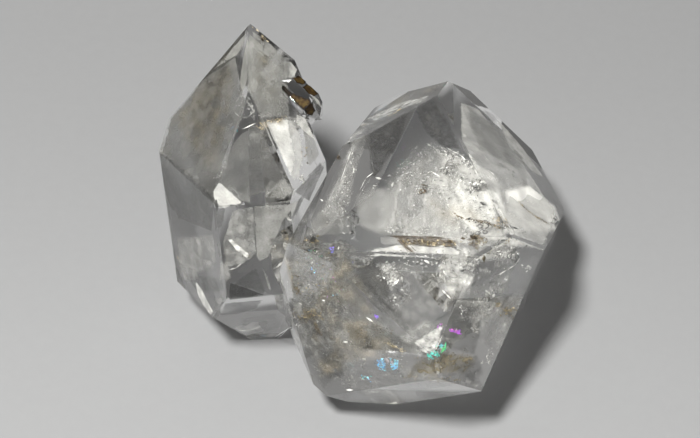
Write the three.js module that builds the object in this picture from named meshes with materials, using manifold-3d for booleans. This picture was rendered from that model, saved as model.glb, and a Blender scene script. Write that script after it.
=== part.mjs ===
// A herkimer diamond: two clear, doubly terminated quartz crystals grown through each other, with
// a small third crystal on the flank of the left one. All three are one solid, which rests on a
// small flat spot under each of the large crystals.
//
// Millimetres, +Z up. The origin is on the resting surface, under the middle of the group.
import * as THREE from 'three';
import { ConvexGeometry } from 'three/addons/geometries/ConvexGeometry.js';
import { mergeVertices } from 'three/addons/utils/BufferGeometryUtils.js';
import Module from 'manifold-3d';

const wasm = await Module();
wasm.setup();

// ---- Driving dimensions ----

// Quartz has six prism faces round its axis and six sloping faces at each end, set over them.
const SIDES = 6;
const CAP_TILT = 51.79; // degrees between the axis and the normal of a sloping face

// Each crystal has its middle, the lean of its axis from upright, the heading it leans to, counted
// from +X, and its turn about that axis, in degrees. Then come the distances of its faces from the
// middle, round the axis: the upper end, the prism and the lower end.
const LEFT = {
  middle: [-8.3, 1.85, 11.7],
  lean: 23.2,
  heading: 101.4,
  turn: 169.4,
  upper: [6.3, 6.7, 9.0, 9.8, 6.95, 4.9],
  prism: [6.1, 6.15, 5.1, 6.0, 5.4, 4.2],
  lower: [7.75, 8.65, 9.75, 9.3, 9.45, 8.25],
};
const RIGHT = {
  middle: [3.85, -1.45, 10.55],
  lean: 43.9,
  heading: 198.7,
  turn: 122.7,
  upper: [7.25, 4.8, 7.9, 7.25, 10.2, 8.7],
  prism: [7.3, 6.05, 12.0, 9.75, 11.45, 10.25],
  lower: [7.95, 10.65, 12.5, 11.05, 9.75, 10.35],
};
const SMALL = {
  middle: [-4.4, 5.15, 17.5],
  lean: 102,
  heading: 317.5,
  turn: 25,
  upper: [1.3, 1.45, 1.3, 1.4, 1.5, 1.35],
  prism: [0.95, 0.85, 1.0, 0.95, 0.85, 1.0],
  lower: [1.5, 1.35, 1.4, 1.55, 1.4, 1.45],
};

// The right crystal's broad upper face steps down twice towards the left crystal. Each ledge has
// its depth below the face and its ragged inner edge, x round the axis and y up the slope.
const LEDGE_FACE = 1;
const LEDGES = [
  {
    depth: 0.28,
    edge: [[8, 1.9], [5.9, 2.4], [4.6, 2.6], [2.7, 3.1], [1.4, 4.5], [-0.2, 5.9], [-1.9, 6.2], [-3, 7.6], [-6, 8.4]],
  },
  {
    depth: 0.55,
    edge: [[8, 2.6], [5.1, 3.8], [2.2, 6.1], [0.7, 6.4], [-0.8, 6.5], [-2.1, 7.4], [-3.7, 8.9], [-6, 9.8]],
  },
];
const LEDGE_REACH = 14; // past the outer rim of the face

// Below the small crystal the left crystal's flank stands back in one growth step.
const FLANK_STEP = { face: 2, distance: 4.1, top: 4.9 };

// A shell-shaped chip is missing from the right crystal's far edge.
const CHIP = { radius: 1.05, at: [4.75, 4.85, -7.1] };

const CRYSTAL = { color: 0xdde1e2, roughness: 0.05, metalness: 0 };

// ---- Crystal faces ----

// The normal of face k, tilted from the axis: the end faces by CAP_TILT, the prism by a right angle.
function faceNormal(tilt, k) {
  const polar = THREE.MathUtils.degToRad(tilt);
  const round = (2 * Math.PI * k) / SIDES;
  return new THREE.Vector3().setFromSphericalCoords(1, polar, round).applyMatrix4(Z_UP);
}

// Spherical coordinates count from +Y; this turns them to count from +Z, starting at +X.
const Z_UP = new THREE.Matrix4().makeBasis(
  new THREE.Vector3(0, 1, 0), new THREE.Vector3(0, 0, 1), new THREE.Vector3(1, 0, 0));

function facesOf(crystal) {
  const ring = (distances, tilt) =>
    distances.map((distance, k) => new THREE.Plane(faceNormal(tilt, k), -distance));
  return [
    ...ring(crystal.upper, CAP_TILT),
    ...ring(crystal.prism, 90),
    ...ring(crystal.lower, 180 - CAP_TILT),
  ];
}

// Where three faces meet, or null if they run along one line.
function meeting(a, b, c) {
  const ab = new THREE.Vector3().crossVectors(a.normal, b.normal);
  const bc = new THREE.Vector3().crossVectors(b.normal, c.normal);
  const ca = new THREE.Vector3().crossVectors(c.normal, a.normal);
  const spread = a.normal.dot(bc);
  if (Math.abs(spread) < 1e-6) return null;
  return new THREE.Vector3()
    .addScaledVector(bc, -a.constant)
    .addScaledVector(ca, -b.constant)
    .addScaledVector(ab, -c.constant)
    .divideScalar(spread);
}

// The corners of a crystal: the meetings of its faces that no other face cuts away.
function cornersOf(faces) {
  const corners = [];
  for (let i = 0; i < faces.length; i++) {
    for (let j = i + 1; j < faces.length; j++) {
      for (let k = j + 1; k < faces.length; k++) {
        const corner = meeting(faces[i], faces[j], faces[k]);
        if (corner && faces.every((face) => face.distanceToPoint(corner) < 1e-6)) corners.push(corner);
      }
    }
  }
  return corners;
}

// From a crystal's own frame, axis up, to where it lies in the group.
function placeOf(crystal) {
  const { degToRad } = THREE.MathUtils;
  return new THREE.Matrix4()
    .makeTranslation(...crystal.middle)
    .multiply(new THREE.Matrix4().makeRotationZ(degToRad(crystal.heading)))
    .multiply(new THREE.Matrix4().makeRotationY(degToRad(crystal.lean)))
    .multiply(new THREE.Matrix4().makeRotationZ(degToRad(crystal.turn)));
}

// ---- Solids ----

function solidOf(geometry) {
  const bare = geometry.clone();
  bare.deleteAttribute('normal');
  bare.deleteAttribute('uv');
  const merged = mergeVertices(bare, 1e-5);
  return new wasm.Manifold(new wasm.Mesh({
    numProp: 3,
    vertProperties: Float32Array.from(merged.attributes.position.array),
    triVerts: Uint32Array.from(merged.index.array),
  }));
}

function geometryOf(solid) {
  const mesh = solid.getMesh();
  const geometry = new THREE.BufferGeometry();
  geometry.setAttribute('position', new THREE.BufferAttribute(mesh.vertProperties, 3));
  geometry.setIndex(new THREE.BufferAttribute(mesh.triVerts, 1));
  geometry.computeVertexNormals();
  return geometry;
}

function crystalSolid(crystal) {
  return solidOf(new ConvexGeometry(cornersOf(facesOf(crystal))).applyMatrix4(placeOf(crystal)));
}

// What one ledge takes off an upper end face: all that lies past its edge, down to its depth.
function ledgeSolid(crystal, k, { depth, edge }) {
  const [first, last] = [edge[0], edge[edge.length - 1]];
  const rim = [[last[0], LEDGE_REACH], [first[0], LEDGE_REACH]];
  const outline = [...edge, ...rim].map(([x, y]) => new THREE.Vector2(x, y));
  const slab = new THREE.ExtrudeGeometry(new THREE.Shape(outline), { depth: depth + 1, bevelEnabled: false });
  const out = faceNormal(CAP_TILT, k);
  const across = new THREE.Vector3(0, 0, 1).cross(out).normalize();
  const upSlope = new THREE.Vector3().crossVectors(out, across);
  const seat = new THREE.Matrix4()
    .makeBasis(across, upSlope, out)
    .setPosition(out.clone().multiplyScalar(crystal.upper[k] - depth));
  return solidOf(slab.applyMatrix4(seat).applyMatrix4(placeOf(crystal)));
}

// What the growth step takes off a prism face: all past its distance, from its top down.
function stepSolid(crystal, { face, distance, top }) {
  const size = 4 * crystal.prism[face];
  const block = new THREE.BoxGeometry(size, size, size).translate(distance + size / 2, 0, top - size / 2);
  block.rotateZ((2 * Math.PI * face) / SIDES);
  return solidOf(block.applyMatrix4(placeOf(crystal)));
}

function chipSolid(crystal, { radius, at }) {
  const ball = new THREE.IcosahedronGeometry(radius, 1).translate(...at);
  return solidOf(ball.applyMatrix4(placeOf(crystal)));
}

function groupSolid() {
  const left = crystalSolid(LEFT).subtract(stepSolid(LEFT, FLANK_STEP));
  let right = crystalSolid(RIGHT).subtract(chipSolid(RIGHT, CHIP));
  for (const ledge of LEDGES) right = right.subtract(ledgeSolid(RIGHT, LEDGE_FACE, ledge));
  const joined = left.add(right).add(crystalSolid(SMALL));

  const under = 100;
  const belowGround = solidOf(new THREE.BoxGeometry(under, under, under).translate(0, 0, -under / 2));
  return joined.subtract(belowGround);
}

// ---- The part ----

const geometry = geometryOf(groupSolid());
geometry.computeBoundingBox();
const middle = geometry.boundingBox.getCenter(new THREE.Vector3());
geometry.translate(-middle.x, -middle.y, 0);

const crystals = new THREE.Mesh(geometry, new THREE.MeshStandardMaterial(CRYSTAL));
crystals.name = 'quartz_crystals';

const part = new THREE.Group();
part.add(crystals);
export default part;
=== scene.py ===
"""A herkimer diamond: clear quartz crystals grown together, with what lies inside and on them.

Lengths in the tables are millimetres. Blender's own are metres.
"""
import math
import random

import bmesh
import bpy
import numpy as np
from bpy.props import FloatProperty, FloatVectorProperty, PointerProperty
from mathutils import Euler, Matrix, Vector, noise
from mathutils.bvhtree import BVHTree


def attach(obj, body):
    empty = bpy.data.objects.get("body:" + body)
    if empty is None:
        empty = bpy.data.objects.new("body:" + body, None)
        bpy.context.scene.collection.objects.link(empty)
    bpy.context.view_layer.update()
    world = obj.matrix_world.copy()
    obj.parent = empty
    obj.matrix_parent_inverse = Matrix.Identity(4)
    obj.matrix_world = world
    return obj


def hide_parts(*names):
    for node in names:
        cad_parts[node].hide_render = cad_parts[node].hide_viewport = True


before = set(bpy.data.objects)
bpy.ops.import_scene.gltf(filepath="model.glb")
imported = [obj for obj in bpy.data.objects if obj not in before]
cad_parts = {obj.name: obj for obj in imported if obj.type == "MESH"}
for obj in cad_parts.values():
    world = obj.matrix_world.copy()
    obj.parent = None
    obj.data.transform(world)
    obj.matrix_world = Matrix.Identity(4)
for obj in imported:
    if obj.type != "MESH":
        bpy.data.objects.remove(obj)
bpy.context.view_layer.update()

bl_info = {
    "name": "Herkimer Diamond",
    "version": (1, 0, 0),
    "blender": (4, 5, 0),
    "location": "View3D > Sidebar > Herkimer Diamond",
    "description": "Dresses the packed quartz crystals with their veils, cavities, cracks and stains",
    "category": "Add Mesh",
}

NODE = "quartz_crystals"
BODY = "root"
MM = 0.001
SEEDS = {"veils": 11, "iron": 23, "rainbows": 37, "hollows": 5, "borders": 1}

# ---- How the crystals lie ----

# Quartz has six prism faces and six sloping faces at each end. A face is named by its ring and its
# number round the axis, such as u5. These are the angles between a ring's normals and the axis.
RING_TILT = {"u": 51.79, "m": 90.0, "l": 128.21}
SIDES = 6

# The lean of each axis from upright, the heading it leans to and the turn about it, in degrees.
LEFT = {"lean": 23.2, "heading": 101.4, "turn": 169.4}
RIGHT = {"lean": 43.9, "heading": 198.7, "turn": 122.7}
SMALL = {"lean": 102.0, "heading": 317.5, "turn": 25.0, "middle": (-4.4, 5.15, 17.5)}

# How deeply each face is etched, from 0, mirror bright, to 1, frosted.
ETCHED = (
    (LEFT, {"u5": 0.65, "u0": 0.06, "u1": 0.22, "m0": 0.08, "m5": 0.3, "m1": 0.35, "l0": 0.2}),
    (RIGHT, {"u5": 0.3, "u0": 0.08, "u1": 0.03, "u2": 0.15, "m0": 0.15, "m1": 0.06, "m5": 0.3}),
)

# ---- The camera ----

# The camera's view is counted in pixels from its upper left corner: VIEW gives how many it has
# across and down. A pixel is 0.065 mm at the top of the crystals and 0.072 mm on the paper.
EYE = Vector((-0.986, -93.82, 144.69)) * MM
ELEVATION = math.radians(55)
VIEW = (700, 438)
EYE_TO_VIEW = 2400  # pixels
SENSOR_WIDTH = 36

AHEAD = Vector((0, math.cos(ELEVATION), -math.sin(ELEVATION)))
RIGHTWARD = Vector((1, 0, 0))
UPWARD = RIGHTWARD.cross(AHEAD)

# ---- The quartz ----

QUARTZ_IOR = 1.544
SAME_POINT = 0.002 * MM  # corners closer than this are one
SAME_PLANE = math.radians(0.3)  # triangles that meet more flatly than this are one face
SAME_FACE = math.radians(1.5)  # between a face and the ideal one that it is
LONG_EDGE = 6  # widths of its rounding, the least for an edge that gets one
SHARP_EDGE = math.radians(6)


# ---- Places inside the crystals ----

def axes_of(crystal):
    """The turn from a crystal's own axes to the part's."""
    heading = Matrix.Rotation(math.radians(crystal["heading"]), 3, "Z")
    lean = Matrix.Rotation(math.radians(crystal["lean"]), 3, "Y")
    return heading @ lean @ Matrix.Rotation(math.radians(crystal["turn"]), 3, "Z")


def face_normal(crystal, face):
    tilt = math.radians(RING_TILT[face[0]])
    round_axis = 2 * math.pi * int(face[1]) / SIDES
    across = math.sin(tilt)
    local = Vector((across * math.cos(round_axis), across * math.sin(round_axis), math.cos(tilt)))
    return axes_of(crystal) @ local


def crystal_copy():
    """The CAD solid as a bmesh with whole faces, its loose triangles merged."""
    bm = bmesh.new()
    bm.from_mesh(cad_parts[NODE].data)
    bmesh.ops.remove_doubles(bm, verts=bm.verts, dist=SAME_POINT)
    bmesh.ops.dissolve_limit(bm, angle_limit=SAME_PLANE, verts=bm.verts, edges=bm.edges)
    bmesh.ops.recalc_face_normals(bm, faces=bm.faces)
    return bm


GROUP_MIDDLE = (370, 210)  # the pixel at which the middle of the crystals shows
STEP_IN = 0.01  # of the way to it, for a place that shows just beside the crystals
CLEAR_OF_FACE = 0.01 * MM
DEEPEST = 0.93  # of the way through the quartz


def at_depth(depth, *places):
    """Places given by where they show, all at one depth."""
    return tuple((across, down, depth) for across, down in places)


class Solid:
    """The crystals as rays and distances meet them."""

    def __init__(self):
        bm = crystal_copy()
        bmesh.ops.triangulate(bm, faces=bm.faces)
        self.tree = BVHTree.FromBMesh(bm)
        bm.free()

    def under(self, across, down, depth):
        """The place that shows at (across, down) in the view, depth mm inside the quartz."""
        entry = None
        while entry is None:
            sight = AHEAD * EYE_TO_VIEW + RIGHTWARD * (across - VIEW[0] / 2)
            sight = (sight + UPWARD * (VIEW[1] / 2 - down)).normalized()
            entry, normal, _, _ = self.tree.ray_cast(EYE, sight)
            across += (GROUP_MIDDLE[0] - across) * STEP_IN
            down += (GROUP_MIDDLE[1] - down) * STEP_IN
        inward = bent(sight, normal, 1 / QUARTZ_IOR)
        _, _, _, through = self.tree.ray_cast(entry + inward * CLEAR_OF_FACE, inward)
        return entry + inward * min(depth * MM, DEEPEST * through)

    def holds(self, place, margin):
        """True if the place is inside, at least margin mm below the surface."""
        at, normal, _, away = self.tree.find_nearest(place)
        return (place - at).dot(normal) < 0 and away > margin * MM


def bent(ray, normal, ratio):
    """The ray past a face, by the ratio of the refractive indices."""
    cosine = -normal.dot(ray)
    root = math.sqrt(1 - ratio * ratio * (1 - cosine * cosine))
    return (ray * ratio + normal * (ratio * cosine - root)).normalized()


# ---- Making pieces ----

def piece_from(bm, name, material):
    mesh = bpy.data.meshes.new(name)
    bm.to_mesh(mesh)
    bm.free()
    return piece_of(mesh, name, material)


def piece_of(mesh, name, material):
    mesh.materials.append(material)
    piece = bpy.data.objects.new(name, mesh)
    bpy.context.scene.collection.objects.link(piece)
    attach(piece, BODY)
    return piece


def joined_copies(name, unit, places, tones):
    """One mesh of a unit bmesh repeated at each matrix, with a tone for each copy."""
    unit.verts.ensure_lookup_table()
    corners = np.array([(*v.co, 1.0) for v in unit.verts])
    faces = np.array([[v.index for v in face.verts] for face in unit.faces])
    unit.free()
    placed = np.einsum("nij,vj->nvi", np.array(places), corners)[:, :, :3]
    steps = np.arange(len(places)) * len(corners)
    every_face = (faces[None] + steps[:, None, None]).reshape(-1, faces.shape[1])
    mesh = bpy.data.meshes.new(name)
    mesh.from_pydata(placed.reshape(-1, 3), [], every_face)
    tone = mesh.attributes.new("tone", "FLOAT", "POINT")
    tone.data.foreach_set("value", np.repeat(tones, len(corners)).astype(np.float32))
    return mesh


def flake_unit():
    """A flat four-sided flake, two low pyramids base to base."""
    bm = bmesh.new()
    bmesh.ops.create_uvsphere(bm, u_segments=4, v_segments=2, radius=1)
    bmesh.ops.triangulate(bm, faces=bm.faces)
    bmesh.ops.recalc_face_normals(bm, faces=bm.faces)
    return bm


def frame_along(along, beside):
    """Axes with x along the first direction and z square to both."""
    x = along.normalized()
    z = x.cross(beside)
    if z.length < 1e-9:
        z = x.orthogonal()
    z.normalize()
    return Matrix((x, z.cross(x), z)).transposed()


MOST_TRIES = 400000  # to place the flakes of one sheet
# The clumps of flakes in a sheet: how many to a millimetre, how strongly they draw flakes, how much
# their borders blur and how much a sheet's own clumping counts.
CLUMPS = {"fineness": 0.9, "strength": 0.9, "blur": 0.12, "weight": 1.2}
THIN_BORDER = 0.12  # of a sheet, where flakes get fewer
UNDER_SURFACE = {"sheet": 0.06, "thread": 0.05, "knot": 0.05}  # the least depth of a flake, in mm
FLATNESS = {"sheet": 0.3, "thread": 0.35, "needle": 0.5, "knot": 0.4}  # a flake's, from 1, round
NEEDLE_OVERLAP = 1.08


class Scatter:
    """Gathers the flakes of one stuff before they are made one mesh."""

    def __init__(self, solid, seed):
        self.solid = solid
        self.draw = random.Random(seed)
        self.places = []
        self.tones = []

    def add(self, place, axes, size, stretch, thin, tone):
        shape = Matrix.Diagonal((size * stretch, size, size * thin))
        self.places.append(Matrix.Translation(place) @ (axes @ shape).to_4x4())
        self.tones.append(tone)

    def strayed(self, reach):
        """A way off, in any direction, that is seldom over twice the reach."""
        return Vector([self.draw.gauss(0, reach * MM) for _ in range(3)])

    def tilted(self, spread):
        return Euler([self.draw.gauss(0, spread) for _ in range(3)]).to_matrix()

    def grain(self, size, spread):
        """A flake's radius, most often near the size given."""
        return size * MM * math.exp(self.draw.gauss(0, spread))

    def tone_between(self, tones):
        return tones[0] + (tones[1] - tones[0]) * self.draw.random()

    def sheet(self, corners, cover, size, reach, tones, clumps=0.5, stretch=1.5):
        """Flakes over a four-cornered sheet, covering about that share of it, in clumps."""
        draw = self.draw
        a, b, c, d = [self.solid.under(*corner) for corner in corners]
        axes = frame_along(b - a, d - a)
        area = ((c - a).cross(d - b)).length / 2
        count = int(cover * area / (math.pi * (size * MM) * (size * MM) * stretch))
        shift = Vector((draw.uniform(-9, 9), draw.uniform(-9, 9), 0))
        tried = 0
        while count > 0 and tried < MOST_TRIES:
            tried += 1
            u = draw.random()
            v = draw.random()
            place = (a * (1 - u) + b * u) * (1 - v) + (d * (1 - u) + c * u) * v
            cloud = noise.fractal(place / MM * CLUMPS["fineness"] + shift, 0.6, 2.2, 4)
            bare_below = (clumps - 0.5) * CLUMPS["weight"]
            if cloud * CLUMPS["strength"] + draw.gauss(0, CLUMPS["blur"]) < bare_below:
                continue
            if min(u, v, 1 - u, 1 - v) < THIN_BORDER * draw.random():
                continue
            place = place + axes.col[2] * draw.gauss(0, reach * MM)
            if not self.solid.holds(place, UNDER_SURFACE["sheet"]):
                continue
            tilt = self.tilted(0.6)
            grain = self.grain(size, 0.4)
            tone = self.tone_between(tones)
            longer = draw.uniform(1, 2 * stretch - 1)
            self.add(place, axes @ tilt, grain, longer, FLATNESS["sheet"], tone)
            count -= 1

    def thread(self, points, count, size, reach, tones, stretch=2.0):
        """Flakes strewn along a line."""
        draw = self.draw
        places = [self.solid.under(*point) for point in points]
        lengths = [(q - p).length for p, q in zip(places, places[1:])]
        for _ in range(count):
            k = draw.choices(range(len(lengths)), lengths)[0]
            along = places[k + 1] - places[k]
            place = places[k] + along * draw.random()
            place += self.strayed(reach)
            if not self.solid.holds(place, UNDER_SURFACE["thread"]):
                continue
            axes = frame_along(along, UPWARD)
            tilt = self.tilted(0.5)
            grain = self.grain(size, 0.5)
            tone = self.tone_between(tones)
            longer = draw.uniform(1, 2 * stretch - 1)
            self.add(place, axes @ tilt, grain, longer, FLATNESS["thread"], tone)

    def needle(self, points, width, tone):
        """Thin blades end to end along a line."""
        places = [self.solid.under(*point) for point in points]
        for p, q in zip(places, places[1:]):
            half = (q - p).length / 2 * NEEDLE_OVERLAP
            axes = frame_along(q - p, UPWARD)
            grain = width * MM / 2
            self.add((p + q) / 2, axes, grain, half / grain, FLATNESS["needle"], tone)

    def knot(self, place, radius, count, size, tones):
        """A ball of flakes."""
        draw = self.draw
        middle = self.solid.under(*place)
        for _ in range(count):
            away = self.strayed(radius * 0.5)
            if not self.solid.holds(middle + away, UNDER_SURFACE["knot"]):
                continue
            tilt = Euler([draw.uniform(0, 6.3) for _ in range(3)]).to_matrix()
            tone = self.tone_between(tones)
            grain = self.grain(size, 0.5)
            self.add(middle + away, tilt, grain, draw.uniform(1, 2.6), FLATNESS["knot"], tone)

    def fill(self, rows):
        for kind, *values in rows:
            getattr(self, kind)(*values)

    def made(self, name, material):
        mesh = joined_copies(name, flake_unit(), self.places, self.tones)
        return piece_of(mesh, name, material)


# ---- Materials ----

DULL_SPECULAR = 0.08  # of dust and of dry films, which hardly shine


def new_material(name):
    material = bpy.data.materials.new(name)
    material.use_nodes = True
    tree = material.node_tree
    return material, tree, tree.nodes["Principled BSDF"]


def add_node(tree, kind, label, **values):
    node = tree.nodes.new(kind)
    node.label = label
    for name, value in values.items():
        setattr(node, name, value)
    return node


def noise_node(tree, label, scale, detail=3.0, roughness=0.5):
    """Noise on object coordinates. Its scale is counted per millimetre."""
    place = add_node(tree, "ShaderNodeTexCoord", "place")
    spots = add_node(tree, "ShaderNodeTexNoise", label)
    spots.inputs["Scale"].default_value = scale / MM
    spots.inputs["Detail"].default_value = detail
    spots.inputs["Roughness"].default_value = roughness
    tree.links.new(place.outputs["Object"], spots.inputs["Vector"])
    return spots


def ramp_node(tree, label, stops):
    ramp = add_node(tree, "ShaderNodeValToRGB", label)
    ramp.color_ramp.elements[0].position = stops[0][0]
    ramp.color_ramp.elements[0].color = stops[0][1]
    ramp.color_ramp.elements[1].position = stops[-1][0]
    ramp.color_ramp.elements[1].color = stops[-1][1]
    for position, colour in stops[1:-1]:
        ramp.color_ramp.elements.new(position).color = colour
    return ramp


def range_node(tree, label, source, low, high, to_low, to_high):
    node = add_node(tree, "ShaderNodeMapRange", label)
    node.inputs["From Min"].default_value = low
    node.inputs["From Max"].default_value = high
    node.inputs["To Min"].default_value = to_low
    node.inputs["To Max"].default_value = to_high
    tree.links.new(source, node.inputs["Value"])
    return node


def bump_from(tree, shader, height, depth):
    bump = add_node(tree, "ShaderNodeBump", "relief")
    bump.inputs["Distance"].default_value = depth * MM
    tree.links.new(height, bump.inputs["Height"])
    tree.links.new(bump.outputs["Normal"], shader.inputs["Normal"])


def quartz_material(settings):
    material, tree, shader = new_material("clear_quartz")
    shader.inputs["Base Color"].default_value = (1, 1, 1, 1)
    shader.inputs["Transmission Weight"].default_value = 1
    shader.inputs["IOR"].default_value = QUARTZ_IOR

    etch = add_node(tree, "ShaderNodeAttribute", "etching", attribute_name="etch")
    mottle = noise_node(tree, "mottling of the etching", 1.6, 4.0, 0.6)
    uneven = range_node(tree, "uneven etching", mottle.outputs["Fac"], 0.3, 0.7, 0.92, 1.08)
    depth = add_node(tree, "ShaderNodeMath", "etching here", operation="MULTIPLY")
    tree.links.new(etch.outputs["Fac"], depth.inputs[0])
    tree.links.new(uneven.outputs["Result"], depth.inputs[1])
    rough = range_node(
        tree, "roughness", depth.outputs["Value"], 0, 1, 0.0, settings.frosted_roughness)
    tree.links.new(rough.outputs["Result"], shader.inputs["Roughness"])

    swell = noise_node(tree, "slow swell of the faces", 0.35, 2.0)
    hillocks = noise_node(tree, "fine growth hillocks", 2.2, 2.0)
    relief = add_node(tree, "ShaderNodeMath", "swell and hillocks", operation="MULTIPLY_ADD")
    relief.inputs[1].default_value = settings.hillocks / settings.swell
    tree.links.new(hillocks.outputs["Fac"], relief.inputs[0])
    tree.links.new(swell.outputs["Fac"], relief.inputs[2])
    bump_from(tree, shader, relief.outputs["Value"], settings.swell)

    body = add_node(tree, "ShaderNodeVolumeAbsorption", "body colour")
    body.inputs["Color"].default_value = (*settings.tint, 1)
    body.inputs["Density"].default_value = settings.tint_density
    tree.links.new(body.outputs["Volume"], tree.nodes["Material Output"].inputs["Volume"])
    return material


def toned_material(name, stops, rough_low, rough_high):
    """A stuff whose flakes and films take their colour from their tone."""
    material, tree, shader = new_material(name)
    tone = add_node(tree, "ShaderNodeAttribute", "tone of each flake", attribute_name="tone")
    colour = ramp_node(tree, "colours", stops)
    tree.links.new(tone.outputs["Fac"], colour.inputs["Fac"])
    tree.links.new(colour.outputs["Color"], shader.inputs["Base Color"])
    grain = noise_node(tree, "grain", 18.0, 2.0)
    rough = range_node(tree, "gloss", grain.outputs["Fac"], 0.3, 0.7, rough_low, rough_high)
    tree.links.new(rough.outputs["Result"], shader.inputs["Roughness"])
    return material


# White flakes: the real veils, and the painted light, shade and glints made of them.
def veil_and_painted_light_material(settings):
    white = settings.colour
    return toned_material("white_flakes_and_painted_light", [
        (0.0, (0.018, 0.018, 0.02, 1)),
        (0.25, (0.08, 0.08, 0.08, 1)),
        (0.55, (0.23, 0.23, 0.225, 1)),
        (0.8, tuple(0.43 * c for c in white) + (1,)),
        (0.94, tuple(0.6 * c for c in white) + (1,)),
        (1.0, (*white, 1)),
    ], 0.35, 0.6)


def iron_material(name, brown, gold):
    return toned_material(name, [
        (0.0, (0.010, 0.007, 0.004, 1)),
        (0.3, tuple(0.45 * c for c in brown) + (1,)),
        (0.55, (*brown, 1)),
        (0.8, (*gold, 1)),
        (1.0, (0.52, 0.44, 0.33, 1)),
    ], 0.45, 0.7)


def thin_out(material):
    """Lets a stuff show only as far as its cover reaches, with a fine grain."""
    tree = material.node_tree
    cover = add_node(tree, "ShaderNodeAttribute", "cover", attribute_name="cover")
    dust = noise_node(tree, "dust", 9.0, 4.0, 0.7)
    grain = range_node(tree, "uneven dust", dust.outputs["Fac"], 0.3, 0.7, 0.8, 1.2)
    shown = add_node(tree, "ShaderNodeMath", "shown", operation="MULTIPLY", use_clamp=True)
    tree.links.new(cover.outputs["Fac"], shown.inputs[0])
    tree.links.new(grain.outputs["Result"], shown.inputs[1])
    shader = tree.nodes["Principled BSDF"]
    tree.links.new(shown.outputs["Value"], shader.inputs["Alpha"])
    shader.inputs["Specular IOR Level"].default_value = DULL_SPECULAR


def rainbow_material():
    return toned_material("rainbow_crack", [
        (0.0, (0.85, 0.10, 0.75, 1)),
        (0.15, (0.38, 0.25, 0.95, 1)),
        (0.3, (0.15, 0.42, 0.95, 1)),
        (0.45, (0.35, 0.80, 1.0, 1)),
        (0.6, (0.12, 0.95, 0.70, 1)),
        (0.75, (0.25, 0.85, 0.25, 1)),
        (0.86, (0.60, 0.48, 0.42, 1)),
        (0.93, (0.55, 0.50, 0.54, 1)),
    ], 0.15, 0.35)


def void_material():
    """The gas in a hollow, as light meets it from the quartz round it."""
    material, tree, shader = new_material("gas_in_quartz")
    shader.inputs["Base Color"].default_value = (1, 1, 1, 1)
    shader.inputs["Transmission Weight"].default_value = 1
    shader.inputs["IOR"].default_value = 1 / QUARTZ_IOR
    shader.inputs["Roughness"].default_value = 0
    ripple = noise_node(tree, "ripples on the walls", 5.0, 3.0)
    bump_from(tree, shader, ripple.outputs["Fac"], 0.01)
    return material


# ---- Settings ----

class CrystalSettings(bpy.types.PropertyGroup):
    edge_round: FloatProperty(
        name="Edge rounding", description="Width of the worn edges",
        default=0.03 * MM, min=0, unit="LENGTH", precision=6)
    frosted_roughness: FloatProperty(
        name="Frosting", description="Roughness of a fully etched face",
        default=0.26, min=0, max=1, subtype="FACTOR")
    swell: FloatProperty(
        name="Swell", description="Height of the slow swell of the faces, in millimetres",
        default=0.010, min=0.0001)
    hillocks: FloatProperty(
        name="Hillocks", description="Height of the fine growth hillocks, in millimetres",
        default=0.0009, min=0)
    tint: FloatVectorProperty(
        name="Body colour", description="What the quartz lets through",
        default=(0.98, 0.975, 0.93), min=0, max=1, size=3, subtype="COLOR")
    tint_density: FloatProperty(
        name="Body density", description="Absorption per metre", default=9.0, min=0)


class VeilSettings(bpy.types.PropertyGroup):
    colour: FloatVectorProperty(
        name="Flake colour", description="Colour of the whitest flakes",
        default=(0.925, 0.92, 0.915), min=0, max=1, size=3, subtype="COLOR")


class IronSettings(bpy.types.PropertyGroup):
    brown: FloatVectorProperty(
        name="Brown", description="Colour of a middling stain inside",
        default=(0.105, 0.072, 0.042), min=0, max=1, size=3, subtype="COLOR")
    gold: FloatVectorProperty(
        name="Gold", description="Colour of a thin stain inside",
        default=(0.20, 0.162, 0.075), min=0, max=1, size=3, subtype="COLOR")
    film_brown: FloatVectorProperty(
        name="Film brown", description="Colour of the thicker film on the small crystal",
        default=(0.052, 0.030, 0.010), min=0, max=1, size=3, subtype="COLOR")
    film_gold: FloatVectorProperty(
        name="Film gold", description="Colour of the thinner film on the small crystal",
        default=(0.125, 0.088, 0.022), min=0, max=1, size=3, subtype="COLOR")
    film: FloatProperty(
        name="Film", description="Thickness of the film on the small crystal",
        default=0.012 * MM, min=0, unit="LENGTH", precision=6)


class StageSettings(bpy.types.PropertyGroup):
    paper: FloatVectorProperty(
        name="Paper", description="Colour of the surface below",
        default=(0.30, 0.30, 0.298), min=0, max=1, size=3, subtype="COLOR")
    key_power: FloatProperty(
        name="Key light", description="Power of the lamp", default=1.35, min=0, unit="POWER")
    key_width: FloatProperty(
        name="Key width", description="Angle that the lamp fills", default=math.radians(8.6),
        min=0, subtype="ANGLE")
    passed_on: FloatProperty(
        name="Passed on",
        description="Share of the key light that the quartz lets through to the paper",
        default=0.06, min=0, max=1, subtype="FACTOR")


# ---- Pieces ----

def etch_faces(bm):
    """Gives each face its etching, which the quartz material reads."""
    layer = bm.faces.layers.float.new("etch")
    close = math.cos(SAME_FACE)
    named = [(face_normal(crystal, face), depth)
             for crystal, faces in ETCHED for face, depth in faces.items()]
    for face in bm.faces:
        for normal, depth in named:
            if face.normal.dot(normal) > close:
                face[layer] = depth


def wear_edges(bm, width):
    """Rounds the edges that are long enough to take it."""
    worn = [edge for edge in bm.edges
            if edge.calc_length() > LONG_EDGE * width and edge.calc_face_angle() > SHARP_EDGE]
    bmesh.ops.bevel(
        bm, geom=worn, offset=width / 2, segments=2, affect="EDGES", profile=0.5, material=-1,
        clamp_overlap=False)


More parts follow.
